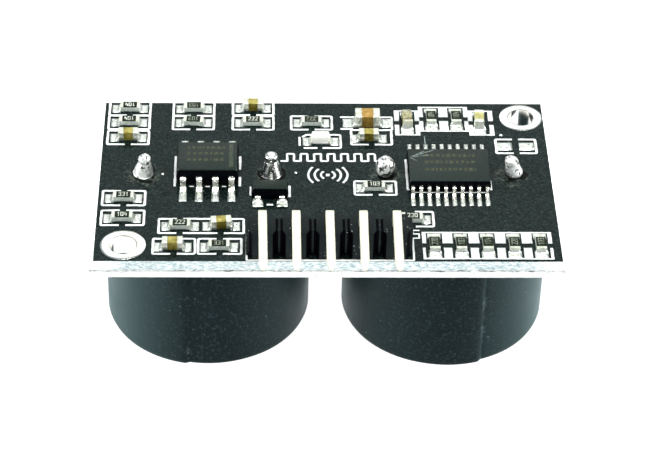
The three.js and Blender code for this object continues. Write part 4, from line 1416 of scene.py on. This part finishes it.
def chip_outlines(legend):
    """The lines round the chips and the lamp."""
    width, depth = 3.5, 2.0
    left_rear = [(-15.87, 9.28), (-15.87, 7.4), (-15.87, 5.37), (-10.65, 9.25), (-10.65, 7.38)]
    middle_rear = [(-5.8, 9.35), (-5.8, 7.38), (-1.05, 7.4)]
    left_front = [(-15.88, -2.46), (-15.87, -4.9)]
    for x, y in left_rear + middle_rear + left_front:
        legend.frame(x - width / 2, y - depth / 2, x + width / 2, y + depth / 2)
    legend.frame(2.13, -2.07, 5.6, -0.17)
    legend.frame(2.05, 4.42, 5.5, 6.55)
    legend.frame(13.7, 3.33, 17.12, 5.35)
    legend.frame(-13.5, -9.34, -10.1, -7.35)
    legend.frame(-10.04, -9.34, -6.55, -7.35)
    # A chip close to the header, with half a frame.
    legend.line([(6.85, -5.9), (8.25, -5.9), (8.25, -4.1), (6.85, -4.1)])
    # Two chips in one frame.
    legend.line([(-11.66, -6.76), (-13.04, -6.76), (-13.04, -5.02), (-11.66, -5.02)])
    legend.line([(-8.0, -6.76), (-6.48, -6.76), (-6.48, -5.02), (-8.0, -5.02)])
    for y in (-6.76, -5.02):
        legend.across(y, -11.16, -8.5)
    # The larger capacitor, open on its left.
    legend.across(8.2, 1.3, 2.9)
    legend.line([(4.1, 8.2), (5.5, 8.2), (5.5, 6.5)])
    legend.across(6.6, 1.3, 2.3)
    # The lamp: cut corners on the left, and a bar that marks its polarity.
    legend.across(4.05, -0.62, -1.72)
    legend.line([(-1.82, 5.5), (-1.5, 5.8), (-0.6, 5.8)])
    legend.line([(-0.2, 4.05), (1.27, 4.05), (1.27, 5.8), (-0.7, 5.8)])
    legend.upright(-2.04, 4.35, 5.5, 0.17)
    # Chips that stand side by side.
    upright_group(legend, (6.75,), 7.45, 1.68, edge=0.38)
    upright_group(legend, (8.73, 10.77), 7.97, 1.68, edge=0.36)
    upright_group(legend, (12.78,), 7.45, 1.68, edge=0.38)
    upright_group(legend, [8.17 + 2.04 * i for i in range(5)], -8.2, 1.63, 0.7, 0.62)


def package_outlines(legend):
    """The lines beside the amplifier, the controller and the transistor."""
    legend.upright(-11.95, -0.95, 2.9)
    legend.upright(-6.82, -0.95, 0.25)
    legend.upright(-6.82, 1.2, 2.9)
    for x in (-10.6, -9.35, -8.05):
        legend.across(-0.97, x - 0.17, x + 0.17, 0.12)
    legend.line([(6.42, 2.58), (6.42, -1.3), (6.75, -1.3)], 0.18, 0.1)
    legend.across(-1.66, 6.75, 12.8, 0.06)
    legend.upright(13.02, -1.37, -0.2, 0.16)
    legend.upright(-5.97, -2.1, -0.98, 0.14)
    legend.upright(-2.93, -2.28, -0.87, 0.24)
    legend.across(-3.25, -4.7, -4.2, 0.18)


def header_outline(legend):
    """Three sides of the header, with the number of its last pin."""
    legend.line([(-6.23, -6.66), (-6.23, -9.98), (6.53, -9.98), (6.53, -7.27)], 0.15, 0.1)
    legend.numeral("5", 6.80, -6.85, 0.95, 0.12)


def pulse_train(legend):
    """A square wave of seven pulses: the burst that the sensor sends."""
    left, low, high, pitch = -3.6, 2.33, 3.27, 1.08
    points = [(left, low)]
    for i in range(7):
        rise = left + pitch * (i + 0.5)
        fall = rise + pitch / 2
        points += [(rise, low), (rise, high), (fall, high), (fall, low)]
    legend.line(points + [(4.2, low)], 0.18, 0.08)


def echo_sign(legend):
    """A dot between curved wave fronts: the echo."""
    x, y, dot = 0.15, 0.53, 0.14
    legend.upright(x, y - dot, y + dot, dot * 2)
    for radius in (0.55, 1.05, 1.55):
        spread = 62 - radius * 14
        legend.arc(x, y, radius, -spread, spread, 0.17)
        legend.arc(x, y, radius, 180 - spread, 180 + spread, 0.17)


def printed_legend():
    """The white print: outlines of the parts, a pin number, and signs for the sound and its echo."""
    legend = Legend()
    for part in (chip_outlines, package_outlines, header_outline, pulse_train, echo_sign):
        part(legend)
    piece("printed_legend", legend.sketch, [SILK])


# ---- Copper under the mask ----

# Where the traces that show run, and where small holes join the board's two faces.
TRACES = [
    [(-14.4, 0.5), (-13.0, -0.9), (-13.0, -3.4), (-11.8, -4.6)],
    [(-11.27, -2.9), (-11.27, -3.6), (-10.4, -4.4)],
    [(-7.46, -2.9), (-7.46, -3.9), (-8.2, -4.7)],
    [(-8.01, 6.47), (-6.9, 5.4), (-4.4, 2.9), (-4.4, 0.5)],
    [(-12.59, 5.48), (-11.27, 4.9)],
    [(-5.4, -3.4), (-5.4, -5.2), (-5.0, -7.2)],
    [(-3.5, -3.4), (-2.5, -4.4), (-2.5, -7.2)],
    [(-0.46, -4.0), (0.05, -4.6), (0.05, -7.2)],
    [(2.6, -7.2), (2.6, -4.6), (3.4, -3.4), (6.9, -3.4)],
    [(5.1, -7.2), (5.1, -6.3)],
    [(1.5, 7.4), (0.4, 7.4)],
    [(4.75, 0.5), (5.6, 1.4), (5.6, 3.6), (6.9, 4.6)],
    [(14.75, 0.5), (14.75, 2.2), (15.5, 3.4)],
    [(8.17, -6.5), (8.17, -5.2), (8.8, -4.4), (8.8, -3.4)],
    [(10.2, -6.5), (10.2, -3.4)],
    [(12.25, -6.5), (12.25, -4.2), (11.4, -3.4)],
    [(14.3, -6.5), (14.3, -4.8), (12.7, -3.4)],
    [(16.3, -6.5), (16.3, 1.5), (15.0, 3.0)],
    [(-2.4, 0.82), (-1.3, -0.2), (2.2, -0.9)],
]
TINNED_VIAS = [(-12.93, 0.62), (-2.4, 0.82), (14.3, 5.85)]
COVERED_VIAS = [(-12.59, 5.48), (-8.01, 6.47), (-12.56, -1.82), (-0.46, -4.0), (14.2, -2.4), (1.2, -5.6)]


def copper():
    """Traces that show as low ridges under the lacquer, a scratch down to them, and small plated holes."""
    traces = Sketch()
    for k, route in enumerate(TRACES):
        traces.strokes([route], 0.26, -0.005, 0.010 + 0.0003 * k)
    for x, y in COVERED_VIAS:
        traces.place(x, y)
        traces.tube_ring([(0.13, -0.01), (0.16, 0.02), (0.28, 0.022), (0.34, -0.01)], 24)
    # The scratch is beside the controller's third rear lead.
    controller = node_centre("controller_ic")
    x, y = controller.x - 1.62, controller.y + 3.95
    traces.place()
    traces.ribbon([(x, y), (x - 0.03, y + 1.15)], 0.09, -0.005, 0.008, 1, 0.04)
    piece("covered_copper", traces, [MASK, SCRATCH], smooth=50)
    vias = Sketch()
    for x, y in TINNED_VIAS:
        vias.place(x, y)
        vias.turned([(0.14, -0.01), (0.13, 0.03), (0.08, 0.07), (0, 0.08)], 20)
    piece("tinned_vias", vias, [SOLDER])


# ---- Stage ----


def stage():
    """A plain white floor, soft light all round, and the camera."""
    scene = bpy.context.scene
    scene.view_settings.view_transform = "Standard"
    world = bpy.data.worlds.new("studio")
    scene.world = world
    world.use_nodes = True
    background = world.node_tree.nodes["Background"]
    background.inputs["Color"].default_value = (0.86, 1.0, 1.0, 1.0)
    background.inputs["Strength"].default_value = 0.32
    mesh = bpy.data.meshes.new("floor")
    reach = 3.0
    corners = [(-reach, -reach, 0), (reach, -reach, 0), (reach, reach, 0), (-reach, reach, 0)]
    mesh.from_pydata(corners, [], [(0, 1, 2, 3)])
    floor = bpy.data.objects.new("floor", mesh)
    scene.collection.objects.link(floor)
    paper = Shader("paper", (0.2, 0.2, 0.2), 0.9, specular=0.0)
    paper.set("Emission Color", (1.0, 1.0, 1.0, 1.0))
    paper.set("Emission Strength", 1.0)
    mesh.materials.append(paper.material)
    area("overhead", (0.03, -0.06, 0.42), (0, 0, 0), 0.22, 1.5)
    area("left", (-0.40, -0.02, 0.10), (0, 0, 0.008), 0.20, 2.8)
    area("right", (0.40, -0.05, 0.10), (0, 0, 0.008), 0.20, 2.5)
    area("rear_card", (0.02, 0.46, 0.40), (0, 0, 0), 0.5, 0.75)
    area("front_card", (-0.06, -0.50, 0.16), (0, 0, 0.01), 0.44, 0.14)
    camera()


def area(name, at, target, size, power):
    """A square light of so many metres and watts, aimed at a target."""
    light = bpy.data.lights.new(name, "AREA")
    light.shape = "SQUARE"
    light.size = size
    light.energy = power
    obj = bpy.data.objects.new(name, light)
    obj.location = at
    obj.rotation_euler = (Vector(target) - Vector(at)).to_track_quat("-Z", "Y").to_euler()
    bpy.context.scene.collection.objects.link(obj)


def camera():
    """A long lens that looks down on the component side over the header's edge."""
    azimuth, elevation, roll = (math.radians(a) for a in (-1.917, 39.234, 1.325))
    distance = 190.213 * MM
    target = frame_point(-0.191, -5.659)
    level = math.cos(elevation)
    back = Vector((math.sin(azimuth) * level, -math.cos(azimuth) * level, math.sin(elevation)))
    right = Vector((math.cos(azimuth), math.sin(azimuth), 0.0))
    up = back.cross(right)
    turned_right = math.cos(roll) * right + math.sin(roll) * up
    turned_up = math.cos(roll) * up - math.sin(roll) * right
    data = bpy.data.cameras.new("camera")
    data.sensor_width = 36.0
    data.lens = 136.1
    data.clip_start = 0.01
    obj = bpy.data.objects.new("camera", data)
    rotation = Matrix((turned_right, turned_up, back)).transposed().to_4x4()
    obj.matrix_world = Matrix.Translation(target + back * distance) @ rotation
    bpy.context.scene.collection.objects.link(obj)
    bpy.context.scene.camera = obj


def hidden_parts():
    """Better finishes for the CAD pieces that keep their shape."""
    finishes = {"base": PHENOLIC, "silicone_ring": SILICONE, "piezo_disc": PIEZO}
    for side in ("left", "right"):
        for name, material in finishes.items():
            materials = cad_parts[f"{side}_{name}"].data.materials
            materials.clear()
            materials.append(material)


stage()
board()
plated_holes()
copper()
printed_legend()
chips()
lamp()
packages()
header()
header_pins()
header_solder()
for side in ("left", "right"):
    sleeve(side)
    barrel(side)
hidden_parts()
